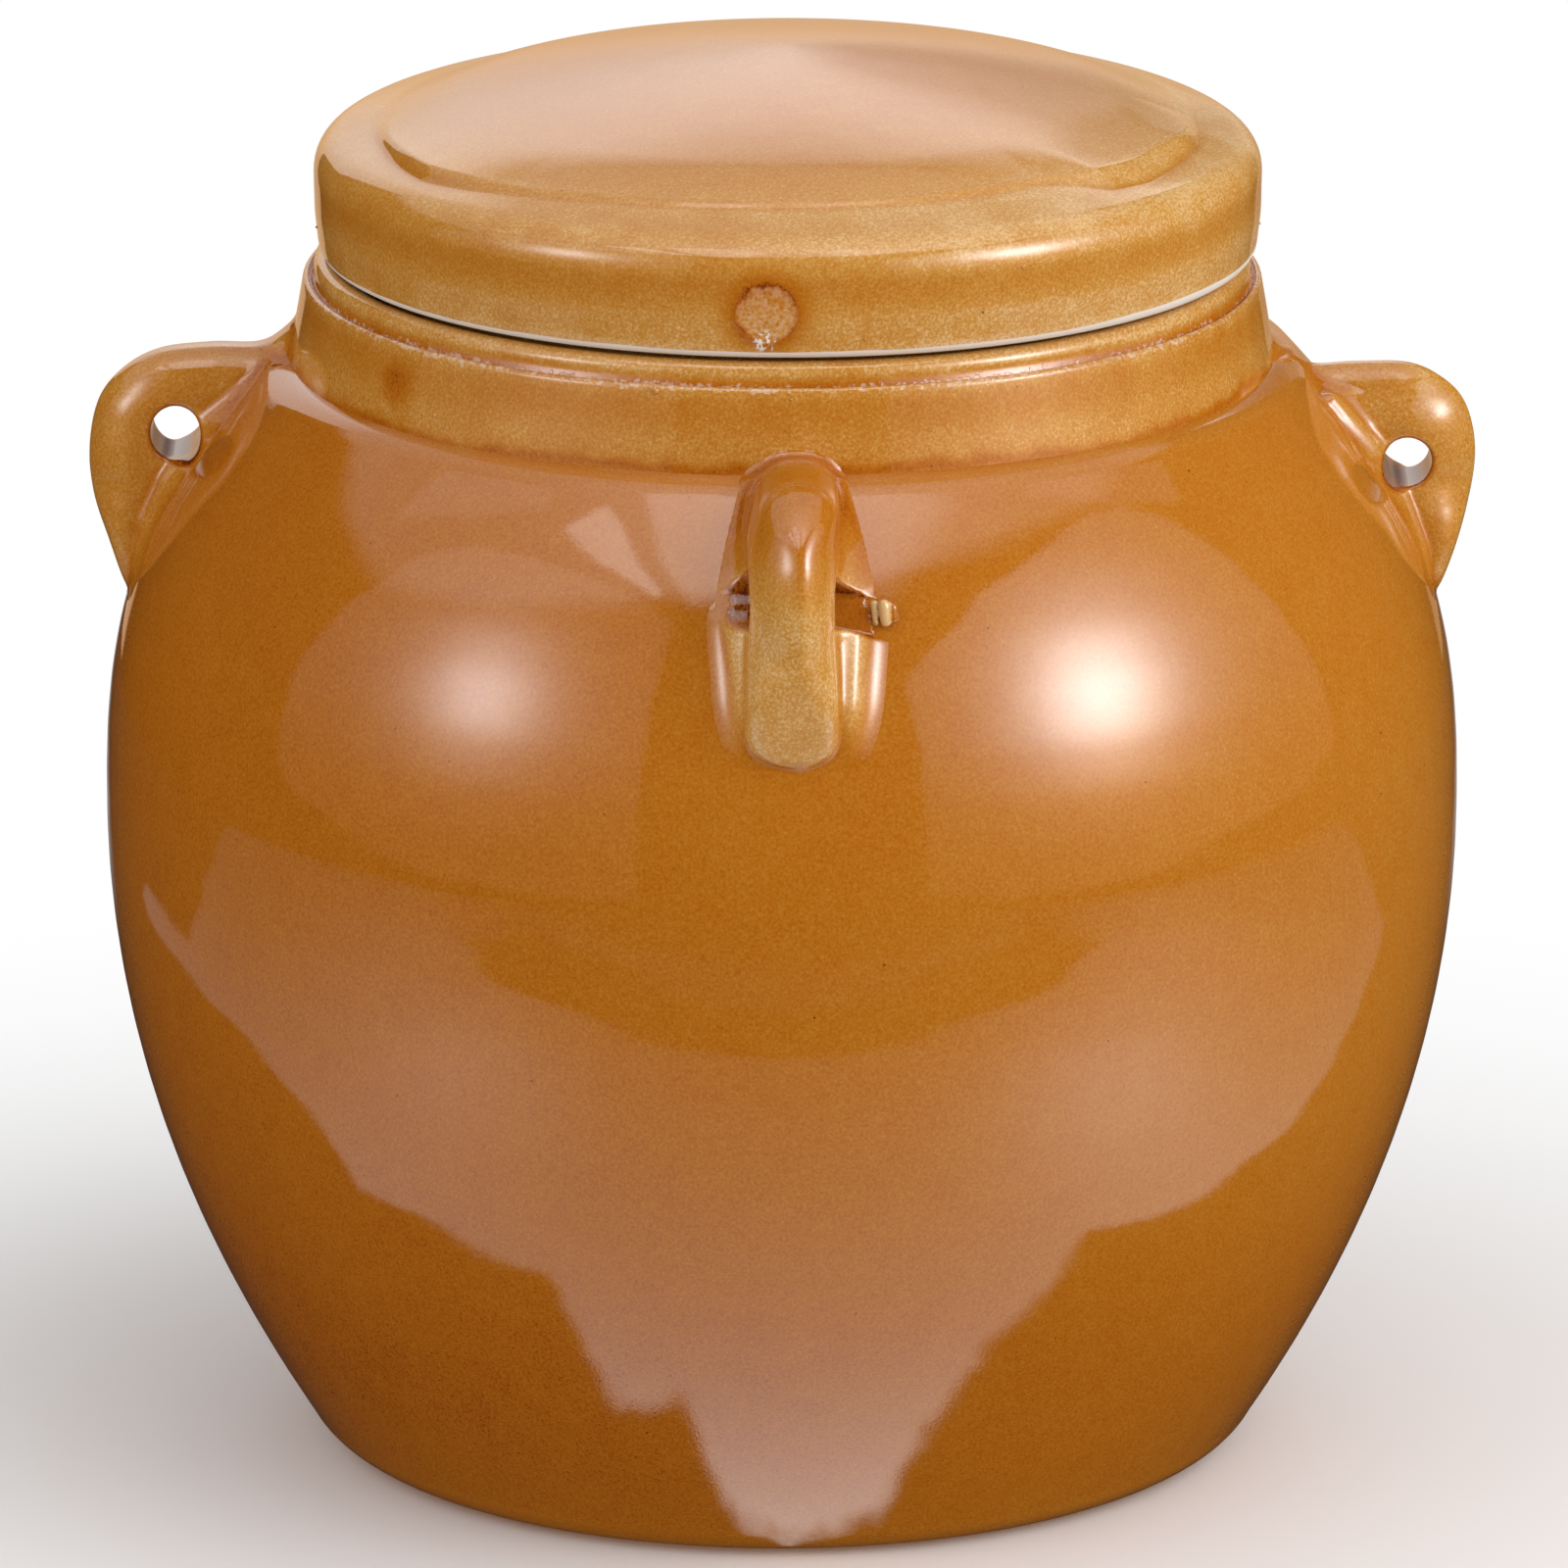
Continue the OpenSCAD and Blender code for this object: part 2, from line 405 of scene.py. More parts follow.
def pooling(points: np.ndarray, reach: float = 1.6) -> np.ndarray:
    """How glaze gathers along a profile that has its clay on the left.

    Args:
        points: the profile.
        reach: the distance over which a bend is felt.

    Returns:
        A share for each point: up to 1 in a hollow, and below 0 on a ridge.
    """
    steps = np.hypot(*np.diff(points, axis=0).T)
    marks = np.concatenate([[0.0], np.cumsum(steps)])

    def at(places: np.ndarray) -> np.ndarray:
        """The profile's points at these lengths along it."""
        return np.column_stack([np.interp(places, marks, column) for column in points.T])

    back = points - at(marks - reach)
    ahead = at(marks + reach) - points
    cross = back[:, 0] * ahead[:, 1] - back[:, 1] * ahead[:, 0]
    along = (back * ahead).sum(axis=1)
    bend = np.arctan2(cross, along)
    return np.clip(-bend * 1.2, -0.3, 1.0)


def own_mesh(thing: bpy.types.Object) -> None:
    """Turns a piece's modifiers into its own plain mesh and removes them.

    Args:
        thing: the piece, which has Geometry Nodes on it.
    """
    graph = bpy.context.evaluated_depsgraph_get()
    made = bpy.data.meshes.new_from_object(thing.evaluated_get(graph), depsgraph=graph)
    thing.modifiers.clear()
    old = thing.data
    thing.data = made
    bpy.data.meshes.remove(old)
    made.name = thing.name


def add_piece(name: str, mesh: bpy.types.Mesh) -> bpy.types.Object:
    """Adds a mesh to the scene as an object at the origin."""
    piece = bpy.data.objects.new(name, mesh)
    bpy.context.collection.objects.link(piece)
    return piece


def coordinates(mesh: bpy.types.Mesh) -> np.ndarray:
    """A mesh's points in millimetres, one row each."""
    flat = np.empty(len(mesh.vertices) * 3, dtype=np.float32)
    mesh.vertices.foreach_get("co", flat)
    return flat.reshape(-1, 3).astype(float) / MM


def move_points(mesh: bpy.types.Mesh, points: np.ndarray) -> None:
    """Puts a mesh's points at new places, given in millimetres."""
    mesh.vertices.foreach_set("co", (points * MM).astype(np.float32).ravel())
    mesh.update()


def store(mesh: bpy.types.Mesh, name: str, values: np.ndarray) -> None:
    """Stores a number for each point of a mesh, by name."""
    layer = mesh.attributes.get(name) or mesh.attributes.new(name, "FLOAT", "POINT")
    layer.data.foreach_set("value", values.astype(np.float32))


def settle(piece: bpy.types.Object, body: Body, slot: Slot, *nodes: str) -> None:
    """Hides the CAD nodes that a finished piece replaces and hangs it on its loose piece.

    Args:
        piece: the finished piece.
        body: the loose piece that it moves with.
        slot: not used; the record's slot that its glaze comes from.
        nodes: the CAD nodes that it replaces.
    """
    if nodes:
        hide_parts(*nodes)
    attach(piece, body.value)
    log.info("%s: %d faces, rides on %s", piece.name, len(piece.data.polygons), body.value)


class Wheel:
    """A potter's wheel: one Geometry Nodes tree that spins a profile into clay."""

    def __init__(self) -> None:
        """Builds the tree."""
        self.tree = bpy.data.node_groups.new("potters_wheel", "GeometryNodeTree")
        self.inputs: dict[str, str] = {}
        for name, kind in (("Profile", "NodeSocketGeometry"), ("Segments", "NodeSocketInt"),
                           ("Wobble", "NodeSocketFloat"), ("Glaze", "NodeSocketMaterial")):
            socket = self.tree.interface.new_socket(name, in_out="INPUT", socket_type=kind)
            self.inputs[name] = socket.identifier
        self.tree.interface.new_socket("Clay", in_out="OUTPUT", socket_type="NodeSocketGeometry")
        self._build(Graph(self.tree))

    def _build(self, graph: Graph) -> None:
        """Wires the tree: a grid of points takes its rings from the profile.

        Args:
            graph: the tree to fill.
        """
        given = graph.node("NodeGroupInput").outputs
        segments = graph.number(given["Segments"])
        size = graph.node("GeometryNodeAttributeDomainSize", {"component": "MESH"},
                          {0: given["Profile"]})
        rings = graph.number(size.outputs["Point Count"])
        grid = graph.node("GeometryNodeMeshGrid", None,
                          {"Vertices X": segments + 1.0, "Vertices Y": rings})
        index = graph.number(graph.node("GeometryNodeInputIndex").outputs[0])
        ring = index % rings
        angle = graph.math("FLOOR", (index + 0.5) / rings) / segments * math.tau

        def from_profile(kind: str, source: bpy.types.NodeSocket) -> bpy.types.NodeSocket:
            """Reads a value of the profile's point that this ring comes from."""
            picked = graph.node("GeometryNodeSampleIndex", {"data_type": kind},
                                {0: given["Profile"], 1: source, 2: ring + 0.1})
            return picked.outputs[0]

        place = graph.node("GeometryNodeInputPosition").outputs[0]
        radius, _, height = graph.split(from_profile("FLOAT_VECTOR", place))
        wobble = 0.0 * angle
        for wave in HAND_WAVES:
            phase = angle * float(wave.turns) + height * (wave.climb / MM) + wave.start
            wobble = wobble + graph.math("SINE", phase) * (wave.height * MM)
        inner, outer = 5 * MM, 30 * MM
        spun = radius + wobble * graph.number(given["Wobble"]) * radius.rise(inner, outer)
        target = graph.node("ShaderNodeCombineXYZ", None, {
            0: spun * graph.math("COSINE", angle), 1: spun * graph.math("SINE", angle), 2: height})
        shaped = graph.node("GeometryNodeSetPosition", None,
                            {"Geometry": grid.outputs[0], "Position": target.outputs[0]})
        named = graph.node("GeometryNodeInputNamedAttribute", {"data_type": "FLOAT"},
                           {"Name": POOL})
        pooled = graph.node("GeometryNodeStoreNamedAttribute",
                            {"data_type": "FLOAT", "domain": "POINT"},
                            {"Geometry": shaped.outputs[0], "Name": POOL,
                             "Value": from_profile("FLOAT", named.outputs[0])})
        closed = graph.node("GeometryNodeMergeByDistance", None,
                            {"Geometry": pooled.outputs[0], "Distance": 0.004 * MM})
        smooth = graph.node("GeometryNodeSetShadeSmooth", None, {"Geometry": closed.outputs[0]})
        solid = graph.node("GeometryNodeRealizeInstances", None, {0: smooth.outputs[0]})
        glazed = graph.node("GeometryNodeSetMaterial", None,
                            {"Geometry": solid.outputs[0], "Material": given["Glaze"]})
        graph.node("NodeGroupOutput", None, {0: glazed.outputs[0]})

    def throw(self, name: str, profile: np.ndarray, segments: int,
              glaze: bpy.types.Material, wobble: float = 1.0) -> bpy.types.Object:
        """Spins one profile round the jar's axis.

        Args:
            name: the piece's name.
            profile: radius and height in millimetres, with the clay on the left.
            segments: how many steps one turn has.
            glaze: the piece's material.
            wobble: the share of the hand's unevenness that it takes.

        Returns:
            The piece, as a plain mesh.
        """
        flat = np.column_stack([profile[:, 0], np.zeros(len(profile)), profile[:, 1]]) * MM
        mesh = bpy.data.meshes.new(name)
        mesh.from_pydata(flat.tolist(), [(i, i + 1) for i in range(len(flat) - 1)], [])
        store(mesh, POOL, pooling(profile))
        piece = add_piece(name, mesh)
        modifier = piece.modifiers.new("wheel", "NODES")
        modifier.node_group = self.tree
        modifier[self.inputs["Segments"]] = segments
        modifier[self.inputs["Wobble"]] = wobble
        modifier[self.inputs["Glaze"]] = glaze
        own_mesh(piece)
        return piece


@dataclass(frozen=True)
class Band:
    """A band round a piece where the glaze lies thinner, or thicker below 0."""

    z: float
    spread: float
    thinner: float


@dataclass(frozen=True)
class Glaze:
    """One glaze as it lies on one kind of piece.

    thin is how thin it lies, from 0, a pool, to 1, a worn edge, and fade how
    much paler it is drawn with each millimetre towards +X: painted light, the side
    that faces the brighter lamp on the right painted lighter. thin_root is thin where
    the piece's LIFT attribute is 0. bare_z is the height in millimetres below
    which the clay is bare, and bare_wave how far that height wanders. chip_z is the
    height of a ridge whose glaze has chipped, burn the middle of a spot that
    fired darker, and foot_grit the relief of the rough skin near the foot.
    """

    name: str
    thin: float
    mottle: float
    grain: float
    specks: float
    pooled: float
    fade: float = 0.001
    thin_root: float | None = None
    bare_z: float | None = None
    bare_wave: float = 0.0
    bands: tuple[Band, ...] = ()
    scarred: bool = False
    chip_z: float | None = None
    burn: tuple[float, float, float] | None = None
    foot_grit: float = 0.0
    roughness: float = 0.05


RAMP = ((0.0, (0.15, 0.022, 0.002)), (0.20, (0.39, 0.099, 0.005)),
        (0.40, (0.46, 0.143, 0.008)), (0.60, (0.50, 0.190, 0.022)),
        (0.80, (0.58, 0.275, 0.055)), (1.0, (0.72, 0.46, 0.20)))
SPECK = (0.045, 0.014, 0.005)
CHIP = (0.86, 0.74, 0.66)
WARM_WALL = (0.90, 0.59, 0.35)
SCAR = (0.62, 0.31, 0.17)
BARE_CLAY = (0.80, 0.72, 0.63)


class Kiln:
    """Fires the glazes: makes their materials."""

    def __init__(self, sizes: JarSizes) -> None:
        """Makes one material for each kind of piece.

        Args:
            sizes: the jar's sizes, which say where clay stays bare.
        """
        self.belly = self._fire(Glaze(
            "belly_glaze", 0.42, 0.13, 0.75, 0.45, 0.22, bare_z=0.1, foot_grit=0.030,
            bands=(Band(24.0, 20.0, -0.12),)))
        self.ear = self._fire(Glaze("ear_glaze", 0.69, 0.24, 0.70, 0.75, 0.50, fade=0.0005,
                                    thin_root=0.42))
        self.collar = self._fire(Glaze(
            "collar_glaze", 0.66, 0.28, 0.80, 0.6, 0.26, fade=0.0006, chip_z=176.1,
            burn=(-56.0, -44.5, 170.5),
            bands=(Band(178.6, 1.2, 0.08), Band(173.0, 2.2, -0.09), Band(167.5, 1.6, 0.05),
                   Band(164.4, 0.6, -0.35))))
        self.lid = self._fire(Glaze(
            "lid_glaze", 0.67, 0.22, 0.70, 0.6, 0.30, bare_z=sizes.skirt_z + 0.85,
            bare_wave=0.35, scarred=True, bands=(
                Band(184.5, 2.8, 0.12), Band(191.0, 2.2, -0.06), Band(199.5, 2.4, 0.12),
                Band(207.5, 3.6, -0.12))))

    def _fire(self, glaze: Glaze) -> bpy.types.Material:
        """Makes one glaze's material.

        Args:
            glaze: how the glaze lies.

        Returns:
            The material.
        """
        material = bpy.data.materials.new(glaze.name)
        material.use_nodes = True
        graph = Graph(material.node_tree)
        shader = material.node_tree.nodes["Principled BSDF"]
        where = graph.node("ShaderNodeTexCoord").outputs["Object"]
        x, _, z = graph.split(where)
        # Painted light: thin grows with x, so the side towards the brighter lamp on the right is painted paler.
        thin = x * (glaze.fade / MM) + glaze.thin - self._stored(graph, POOL) * glaze.pooled
        if glaze.thin_root is not None:
            thin = thin - (1.0 - self._stored(graph, LIFT)) * (glaze.thin - glaze.thin_root)
        cloud = graph.noise(where, 30.0, 3.0)
        blotch = graph.noise(where, 5.0, 4.0)
        fine = graph.noise(where, 0.42, 2.0)
        for band in glaze.bands:
            off = (z / MM - band.z + (cloud - 0.5) * 5.0 + (blotch - 0.5) * 2.5) / band.spread
            thin = thin + graph.math("EXPONENT", off * off * -0.5) * band.thinner
        thin = (thin + (cloud - 0.5) * (glaze.mottle * 0.8) + (blotch - 0.5) * glaze.mottle
                + (fine - 0.5) * glaze.grain)
        peel = (graph.noise(where, 9.0, 2.0) * 0.020 + graph.noise(where, 1.8, 2.0) * 0.0030
                + fine * (0.0010 + 0.004 * glaze.grain))
        chips = None
        scarred = None
        if glaze.scarred:
            thin, peel, chips, scarred = self._scar(graph, where, thin, peel)
        if glaze.chip_z is not None:
            ridge = graph.math("EXPONENT", ((z / MM - glaze.chip_z) / 0.45) ** 2 * -0.5)
            chips = (ridge * 0.26 + graph.noise(where, 0.8, 3.0) + cloud * 0.5).rise(0.98, 1.12)
            peel = peel - chips * 0.03
            chips = chips * 0.35
        if glaze.burn is not None:
            spot = self._distance(graph, where, glaze.burn) + (blotch - 0.5) * 3.0
            thin = thin - spot.fall(1.2, 4.4) * 0.30
        if glaze.foot_grit:
            peel = peel + fine * z.fall(0.0, 0.06) * glaze.foot_grit
        ramp = graph.node("ShaderNodeValToRGB", {"stops": RAMP}, {0: thin})
        colour = graph.mix(self._specks(graph, where, glaze.specks), ramp.outputs[0], SPECK)
        if scarred is not None:
            colour = graph.mix(scarred, colour, SCAR)
        if chips is not None:
            colour = graph.mix(chips, colour, CHIP)
        if glaze.bare_z is not None:
            edge = graph.noise(where, 9.0, 1.0) * glaze.bare_wave
            edge = edge + x.rise(0.035, 0.060) * (glaze.bare_wave * 1.6)
            bare = (z / MM - edge).fall(glaze.bare_z - 0.08, glaze.bare_z + 0.08)
            colour = graph.mix(bare, colour, BARE_CLAY)
            rough = bare * (0.62 - glaze.roughness) + glaze.roughness
            graph.tree.links.new(rough.socket, shader.inputs["Roughness"])
        else:
            shader.inputs["Roughness"].default_value = glaze.roughness
        graph.tree.links.new(colour, shader.inputs["Base Color"])
        bump = graph.node("ShaderNodeBump", None,
                          {"Strength": 1.0, "Distance": MM, "Height": peel})
        graph.tree.links.new(bump.outputs[0], shader.inputs["Normal"])
        return material

    @staticmethod
    def _scar(graph: Graph, where: bpy.types.NodeSocket, thin: Number,
              peel: Number) -> tuple[Number, Number, Number, Number]:
        """Marks the round scar where the lid's skirt touched in the fire.

        Args:
            graph: the lid material's tree.
            where: the surface's place.
            thin: how thin the glaze lies.
            peel: the surface's relief in millimetres.

        Returns:
            The two numbers with the scar in them, how chipped each place is, and
            how much of the scar shows there.
        """
        ragged = graph.noise(where, 2.2, 3.0)
        rough = graph.noise(where, 0.6, 2.0)

        wander = (ragged - 0.5) * 1.6
        scar = Kiln._distance(graph, where, (-2.1, -69.3, 186.9)) + wander
        ring = graph.math("EXPONENT", ((scar - 4.4) / 0.5) ** 2 * -0.5)
        core = scar.fall(3.8, 4.6)
        halo = scar.fall(4.6, 8.2) * scar.rise(3.8, 4.6) * (0.55 + (ragged - 0.3))
        thin = thin - halo * 0.34 - ring * 0.26 + core * (rough - 0.5) * 0.9
        peel = peel + ring * 0.16 + core * (rough - 0.5) * 0.10
        low = Kiln._distance(graph, where, (-2.6, -69.3, 182.9)) + wander
        chips = low.fall(1.2, 2.1) * (rough + ragged * 0.6).rise(0.84, 0.90)
        return thin, peel + chips * 0.10, chips, core * rough.rise(0.30, 0.70) * 0.60

    @staticmethod
    def _distance(graph: Graph, where: bpy.types.NodeSocket,
                  place: tuple[float, float, float]) -> Number:
        """The distance from a place, both in millimetres."""
        apart = graph.node("ShaderNodeVectorMath", {"operation": "DISTANCE"},
                           {0: where, 1: tuple(c * MM for c in place)})
        return graph.number(apart.outputs["Value"]) / MM

    @staticmethod
    def _stored(graph: Graph, name: str) -> Number:
        """Reads a number that a mesh stores at its points."""
        return graph.number(graph.node("ShaderNodeAttribute", {"attribute_name": name})
                            .outputs["Fac"])

    @staticmethod
    def _specks(graph: Graph, where: bpy.types.NodeSocket, share: float) -> Number:
        """Scatters dark pinholes through a glaze.

        Args:
            graph: the material's tree.
            where: the surface's place.
            share: the share of the possible specks that is left out.

        Returns:
            How dark each place is, from 0 to 1.
        """
        cells = graph.node("ShaderNodeTexVoronoi", None, {"Vector": where, "Scale": 170.0})
        near = graph.number(cells.outputs["Distance"]).fall(0.020, 0.040)
        pick, _, _ = graph.split(cells.outputs["Color"])
        return near * pick.rise(share, share + 0.02) * 0.8


class JarBody:
    """The thrown jar: its bellied wall, its floor and the moat's floor."""

    def __init__(self, sizes: JarSizes) -> None:
        """Takes the shared sizes."""
        self.sizes = sizes

    def _foot(self, corner_r: float, z: float, radius: float) -> np.ndarray:
        """The rounding between a floor and the wall that leans out above it.

        Args:
            corner_r: the radius at which floor and wall would meet.
            z: the floor's height.
            radius: the rounding's radius.

        Returns:
            The arc's points, from the floor up to the wall.
        """
        lean = math.degrees(math.atan(self.sizes.wall_slope(z)))
        centre = (corner_r - radius * math.tan(math.radians((90.0 - lean) / 2.0)), z + radius)
        return arc(centre, radius, -90.0, -lean)

    def profile(self) -> np.ndarray:
        """The jar's section, up the outside and down the inside.

        Returns:
            Radius and height, one row each.
        """
        s = self.sizes
        foot = self._foot(s.base_r, 0.0, s.foot_round)
        heights = np.linspace(foot[-1, 1], s.shoulder_z - 0.7, 112)[1:]
        wall = np.column_stack([s.wall_r(heights), heights])
        underside = walk(np.array([(0.0, 0.0), foot[0]]), 9.0)
        joint = (s.collar_foot_r - 2.1, s.shoulder_z + 0.2)
        ledge = walk(np.array([wall[-1], joint, (s.mouth_r, s.shoulder_z)]), 4.0)[1:]

        def inside(z: Any) -> Any:
            """Radius of the inner wall at height z."""
            return s.wall_r(z) - s.wall * np.sqrt(1.0 + s.wall_slope(z) ** 2)

        round_in = s.foot_round + s.wall / 2.0
        corner = self._foot(float(inside(s.floor_t)), s.floor_t, round_in)
        inner_z = np.linspace(s.shoulder_z - s.ledge_t, corner[-1, 1], 30)
        inner = np.column_stack([inside(inner_z), inner_z])
        lip = np.array([(s.mouth_r, s.shoulder_z - s.ledge_t)])
        floor = walk(np.array([corner[0], (0.0, s.floor_t)]), 9.0)[1:]
        return np.vstack([underside, foot[1:], wall, ledge, lip, inner, corner[::-1][1:], floor])

    def build(self, wheel: Wheel, kiln: Kiln) -> None:
        """Throws and glazes the jar."""
        piece = wheel.throw("jar_wall", self.profile(), 400, kiln.belly)
        settle(piece, Body.JAR, Slot.AMBER, "jar_body")


class Collar:
    """The moat's two walls: the ring round the mouth and the collar."""

    wall_t = 5.4
    height = 12.3
    flare = 4.1
    lean = 2.0
    ridge_r = 0.7
    groove_in = 1.1
    bead_r = 1.9

    def __init__(self, sizes: JarSizes) -> None:
        """Takes the shared sizes."""
        self.sizes = sizes
        self.collar_r = sizes.collar_foot_r - self.flare
        self.moat_r = self.collar_r - self.wall_t
        self.ridge_z = sizes.shoulder_z + self.height

    def face(self) -> np.ndarray:
        """The collar's outer face, from its foot up to the ridge.

        Returns:
            Radius and height, one row each.
        """
        s = self.sizes
        share = np.linspace(-0.02, 1.0, 16)
        return np.column_stack([
            self.collar_r + self.lean * (1.0 - share),
            s.shoulder_z + (self.height - self.ridge_r) * share])

    def face_r(self, z: np.ndarray) -> np.ndarray:
        """Radius of the collar's face at the heights z."""
        face = self.face()
        return np.interp(z, face[:, 1], face[:, 0])

    def profile(self) -> np.ndarray:
        """The collar's section, up the outside and down the inside."""
        s = self.sizes
        ridge = (self.collar_r - self.ridge_r, self.ridge_z - self.ridge_r)
        bead = (self.moat_r + self.bead_r, s.bead_top - self.bead_r)
        outside = np.vstack([self.face(), arc(ridge, self.ridge_r, 30.0, 110.0, 5),
                             [(self.collar_r - self.groove_in, self.ridge_z - self.ridge_r)],
                             arc(bead, self.bead_r, -15.0, 180.0)])
        outside = soften(outside, 0.3, 0.22)
        inside = walk(np.array([outside[-1], (self.moat_r, s.shoulder_z)]), 2.5)[1:]
        under = walk(np.array([inside[-1], outside[0]]), 3.0)[1:]
        return np.vstack([outside, inside, under])

    def neck_profile(self) -> np.ndarray:
        """The section of the ring round the mouth."""
        s = self.sizes
        lip = s.neck_wall / 2.0
        rim = arc((s.mouth_r + lip, s.neck_top - lip), lip, 0.0, 180.0, 12)
        corners = np.vstack([[(s.neck_r, s.shoulder_z)], rim, [(s.mouth_r, s.shoulder_z)],
                             [(s.neck_r, s.shoulder_z)]])
        return walk(corners, 1.0)

    def build(self, wheel: Wheel, kiln: Kiln) -> None:
        """Throws and glazes the collar and the ring round the mouth."""
        collar = wheel.throw("collar", self.profile(), 480, kiln.collar)
        settle(collar, Body.JAR, Slot.HONEY, "moat_collar")
        neck = wheel.throw("mouth_ring", self.neck_profile(), 240, kiln.collar, 0.5)
        settle(neck, Body.JAR, Slot.HONEY, "inner_neck")


@dataclass(frozen=True)
class StepMark:
    """Where the raised disc's step runs on the lid, in one direction.

    angle is in degrees round the axis from +X and shift how far the step's foot
    lies outside its true radius. The share sharp of its height falls over width,
    and the rest in a long slope inside it.
    """

    angle: float
    shift: float
    width: float
    sharp: float


class Lid:
    """The lid: a low cone with a raised disc, a skirt and a flange."""

    brim_w = 10.3
    brim_fall = 1.9
    brim_round = 5.5
    brim_turn = 73.0
    swell = 0.65
    edge_r = 1.0
    cap_t = 6.3
    disc_step = 1.9
    disc_edge = 2.2
    dome_pow = 1.5
    nudge = 0.8
    marks = (
        StepMark(-180, 1.6, 4.0, 0.2), StepMark(-166, 2.4, 2.0, 0.8),
        StepMark(-153, 3.6, 1.9, 1.0), StepMark(-147, 4.1, 2.0, 1.0),
        StepMark(-140, 3.2, 2.0, 0.8), StepMark(-132, 1.9, 1.4, 0.5),
        StepMark(-118, 0.0, 0.9, 0.48), StepMark(-90, -1.2, 0.9, 0.46),
        StepMark(-71, -1.4, 0.9, 0.46), StepMark(-60, -1.8, 1.2, 0.40),
        StepMark(-50, -1.8, 1.4, 0.34), StepMark(-45, 0.3, 2.6, 0.6),
        StepMark(-41, 3.4, 4.6, 1.0), StepMark(-34, 4.3, 5.0, 1.0),
        StepMark(-25, 3.3, 4.4, 1.0), StepMark(-16, 2.6, 2.8, 1.0), StepMark(-9, 1.8, 2.0, 0.6),
        StepMark(0, 0.6, 3.0, 0.1), StepMark(20, 0.0, 4.0, 0.0), StepMark(155, 0.0, 4.0, 0.0))
    long_slope = 14.0

    def __init__(self, sizes: JarSizes) -> None:
        """Takes the shared sizes."""
        self.sizes = sizes
        self.crease_z = sizes.ceiling_z + self.cap_t
        self.disc_z = self.crease_z + self.disc_step
        self.crease_r = sizes.swell_r - self.brim_w
        self.disc_r = self.crease_r - self.disc_edge

    def face(self) -> np.ndarray:
        """The lid's outside without its step, from the skirt's edge to the apex."""
        s = self.sizes
        skirt_r = s.swell_r - self.swell
        drop = self.brim_fall + self.brim_round * math.sin(math.radians(self.brim_turn))
        brim = (s.swell_r - self.brim_round, self.crease_z - drop)
        side = [(s.swell_r - self.swell / 6.0, (s.skirt_z + brim[1]) / 2.0)]
        cone = walk(np.array([(self.crease_r, self.crease_z), (0.0, s.apex_z)]), 0.6)
        return np.vstack([
            arc((skirt_r - self.edge_r, s.skirt_z + self.edge_r), self.edge_r, -90.0, -10.0, 6),
            side, arc(brim, self.brim_round, 0.0, self.brim_turn, 10), cone])

    def top_z(self, radius: np.ndarray, angle: np.ndarray) -> np.ndarray:
        """Height of the lid's top, with its hand-made step.

        Args:
            radius: the distance from the axis.
            angle: the direction in degrees.

        Returns:
            The height.
        """
        s = self.sizes
        rise = s.apex_z - self.disc_z
        dome = self.disc_z + rise * (1.0 - (radius / self.disc_r) ** self.dome_pow)
        corner_r = s.swell_r - self.brim_round * (1.0 - math.cos(math.radians(self.brim_turn)))
        slope = self.brim_fall / (self.crease_r - corner_r)
        brim = self.crease_z + slope * (radius - self.crease_r)
        inward = self.crease_r + self._drawn("shift", angle) - radius
        sharp = self._drawn("sharp", angle)
        share = (sharp * self._ease(inward / self._drawn("width", angle))
                 + (1.0 - sharp) * self._ease(inward / self.long_slope))
        return brim + share * (dome - brim)

    def _drawn(self, name: str, angle: np.ndarray) -> np.ndarray:
        """One of the marks' numbers, drawn out between them."""
        return np.interp(angle, [mark.angle for mark in self.marks],
                         [getattr(mark, name) for mark in self.marks], period=360.0)

    @staticmethod
    def _ease(share: np.ndarray) -> np.ndarray:
        """A smooth step from 0 to 1."""
        share = np.clip(share, 0.0, 1.0)
        return share ** 2 * (3.0 - 2.0 * share)

    def profile(self) -> np.ndarray:
        """The cap's section, up the outside and back under the hollow."""
        s = self.sizes
        outside = soften(self.face(), 0.25, 0.5)
        keep = [0]
        for place in range(1, len(outside) - 1):
            near_step = 55.5 < outside[place, 0] < 64.5 and outside[place, 1] > self.crease_z - 3.0
            longest = 0.36 if near_step else 0.8 if outside[place, 0] > 46.0 else 2.3
            if np.hypot(*(outside[place] - outside[keep[-1]])) >= longest - 0.12:
                keep.append(place)
        outside = outside[keep + [len(outside) - 1]]
        hollow_r = s.flange_r - s.flange_wall - 1.0
        hollow_h = s.apex_z - self.disc_z + 1.2
        share = np.linspace(0.0, 1.0, 12)
        hollow = np.column_stack([hollow_r * share, s.ceiling_z + hollow_h * (1.0 - share ** 2)])
        skirt_in = s.swell_r - self.swell - s.skirt_wall
        under = walk(np.array([hollow[-1], (skirt_in, s.ceiling_z), (skirt_in, s.skirt_z),
                               outside[0]]), 2.5)[1:]
        return np.vstack([outside, hollow, under])

    def flange_profile(self) -> np.ndarray:
        """The section of the ring that stands in the moat."""
        s = self.sizes
        inner = s.flange_r - s.flange_wall
        corners = np.vstack([
            [(inner, s.ceiling_z)],
            arc((inner + self.edge_r, s.shoulder_z + self.edge_r), self.edge_r, 180.0, 270.0, 4),
            arc((s.flange_r - self.edge_r, s.shoulder_z + self.edge_r), self.edge_r,
                -90.0, 0.0, 4),
            [(s.flange_r, s.ceiling_z), (inner, s.ceiling_z)]])
        return walk(corners, 1.0)

